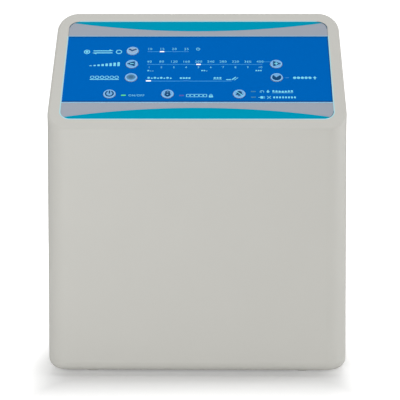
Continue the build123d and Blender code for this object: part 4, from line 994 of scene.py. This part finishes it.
def floor_fades(tree):
    """Distances over which the floor's painted glow changes, each with its span and its two
    strengths.

    They run from the line under the front, back from the case, to its sides, and outwards.
    """
    position = tree.nodes.new("ShaderNodeNewGeometry").outputs["Position"]
    size = tree.nodes.new("ShaderNodeVectorMath")
    size.operation = "ABSOLUTE"
    tree.links.new(position, size.inputs[0])
    ways = tree.nodes.new("ShaderNodeSeparateXYZ")
    tree.links.new(size.outputs["Vector"], ways.inputs[0])
    away = tree.nodes.new("ShaderNodeVectorMath")
    away.operation = "LENGTH"
    tree.links.new(position, away.inputs[0])
    across = tree.nodes.new("ShaderNodeVectorMath")
    across.operation = "MULTIPLY"
    across.inputs[1].default_value = (0, 1, 1)
    tree.links.new(position, across.inputs[0])
    foot = tree.nodes.new("ShaderNodeVectorMath")
    foot.operation = "DISTANCE"
    foot.inputs[1].default_value = (0, FOOT_LINE_Y, 0)
    tree.links.new(across.outputs["Vector"], foot.inputs[0])
    return [
        # Painted light that lightens the shadow along the line under the case's front
        (foot.outputs["Value"], (0.010, 0.0295), (0.27, 0.0), "SMOOTHSTEP"),
        (ways.outputs["Y"], (0.082, 0.20), (0.0, 0.65), "LINEAR"),
        (ways.outputs["X"], (0.11, 0.18), (0.0, 0.6), "SMOOTHSTEP"),
        (away.outputs["Value"], (0.2, 0.6), (0.0, 1.0), "SMOOTHSTEP"),
    ]


def floor_look():
    """White matt floor with painted light: a glow, seen by the camera only, that leaves the shadow
    near the object, lightens it along a line under the front and whitens the floor further out.
    """
    material = bpy.data.materials.new("floor_white")
    tree = empty_tree(material)
    out = tree.nodes.new("ShaderNodeOutputMaterial")
    matt = tree.nodes.new("ShaderNodeBsdfDiffuse")
    matt.inputs["Color"].default_value = (FLOOR_GREY, FLOOR_GREY, FLOOR_GREY, 1)
    glow = tree.nodes.new("ShaderNodeEmission")
    rays = tree.nodes.new("ShaderNodeLightPath").outputs
    most = None
    for distance, span, strengths, kind in floor_fades(tree):
        fade = tree.nodes.new("ShaderNodeMapRange")
        fade.interpolation_type = kind
        fade.inputs["From Min"].default_value, fade.inputs["From Max"].default_value = span
        fade.inputs["To Min"].default_value, fade.inputs["To Max"].default_value = strengths
        tree.links.new(distance, fade.inputs["Value"])
        if most is None:
            most = fade.outputs["Result"]
        else:
            most = combined(tree, "MAXIMUM", most, fade.outputs["Result"])
    seen = combined(tree, "MULTIPLY", rays["Is Camera Ray"], most)
    tree.links.new(seen, glow.inputs["Strength"])
    both = tree.nodes.new("ShaderNodeAddShader")
    tree.links.new(matt.outputs[0], both.inputs[0])
    tree.links.new(glow.outputs[0], both.inputs[1])
    tree.links.new(both.outputs[0], out.inputs[0])
    return material


def floor():
    """Floor under the object, which keeps its shadow."""
    half = FLOOR_HALF
    mesh = bpy.data.meshes.new("floor")
    corners = [(-half, -half, 0), (half, -half, 0), (half, half, 0), (-half, half, 0)]
    mesh.from_pydata(corners, [], [(0, 1, 2, 3)])
    mesh.materials.append(floor_look())
    piece = bpy.data.objects.new("floor", mesh)
    bpy.context.collection.objects.link(piece)


def softbox(name, place, target, size, power):
    """Square area lamp that looks at a point."""
    data = bpy.data.lights.new(name, "AREA")
    data.shape = "SQUARE"
    data.size = size
    data.energy = power
    lamp = bpy.data.objects.new(name, data)
    lamp.location = place
    lamp.rotation_mode = "QUATERNION"
    way = Vector(target) - Vector(place)
    lamp.rotation_quaternion = way.to_track_quat("-Z", "Y")
    bpy.context.collection.objects.link(lamp)


def camera():
    """Camera at the photograph's place and angle."""
    data = bpy.data.cameras.new("camera")
    data.sensor_width = SENSOR_MM
    data.lens = LENS_MM
    data.clip_end = 100.0
    piece = bpy.data.objects.new("camera", data)
    piece.location = CAMERA_PLACE
    piece.rotation_euler = [math.radians(turn) for turn in CAMERA_TURN_DEG]
    bpy.context.collection.objects.link(piece)
    bpy.context.scene.camera = piece


blue_band()
teal_segments()
painted_edge_highlight()
band_lines()
painted_corner_shade()
scale_marks()
scale_lines()
scale_windows()
signal_windows()
key_rounds()
scale_key_icons()
switch_key_icons()

cover_screw_heads()
flange_screw_heads()
rocker_marks()

white_world(0.36)
floor()
softbox("front_light", (-0.5, -1.45, 0.44), (0, 0, 0.15), 0.8, 9.8)
softbox("side_light", (2.3, 0.12, 0.45), (0, 0, 0.15), 1.5, 26)
softbox("back_light", (0.3, 2.2, 0.8), (0, 0, 0.15), 1.0, 20)
softbox("top_light", (0.05, 0.1, 2.1), (0, 0, 0.1), 1.2, 11)
camera()
bpy.context.scene.view_settings.view_transform = "Standard"
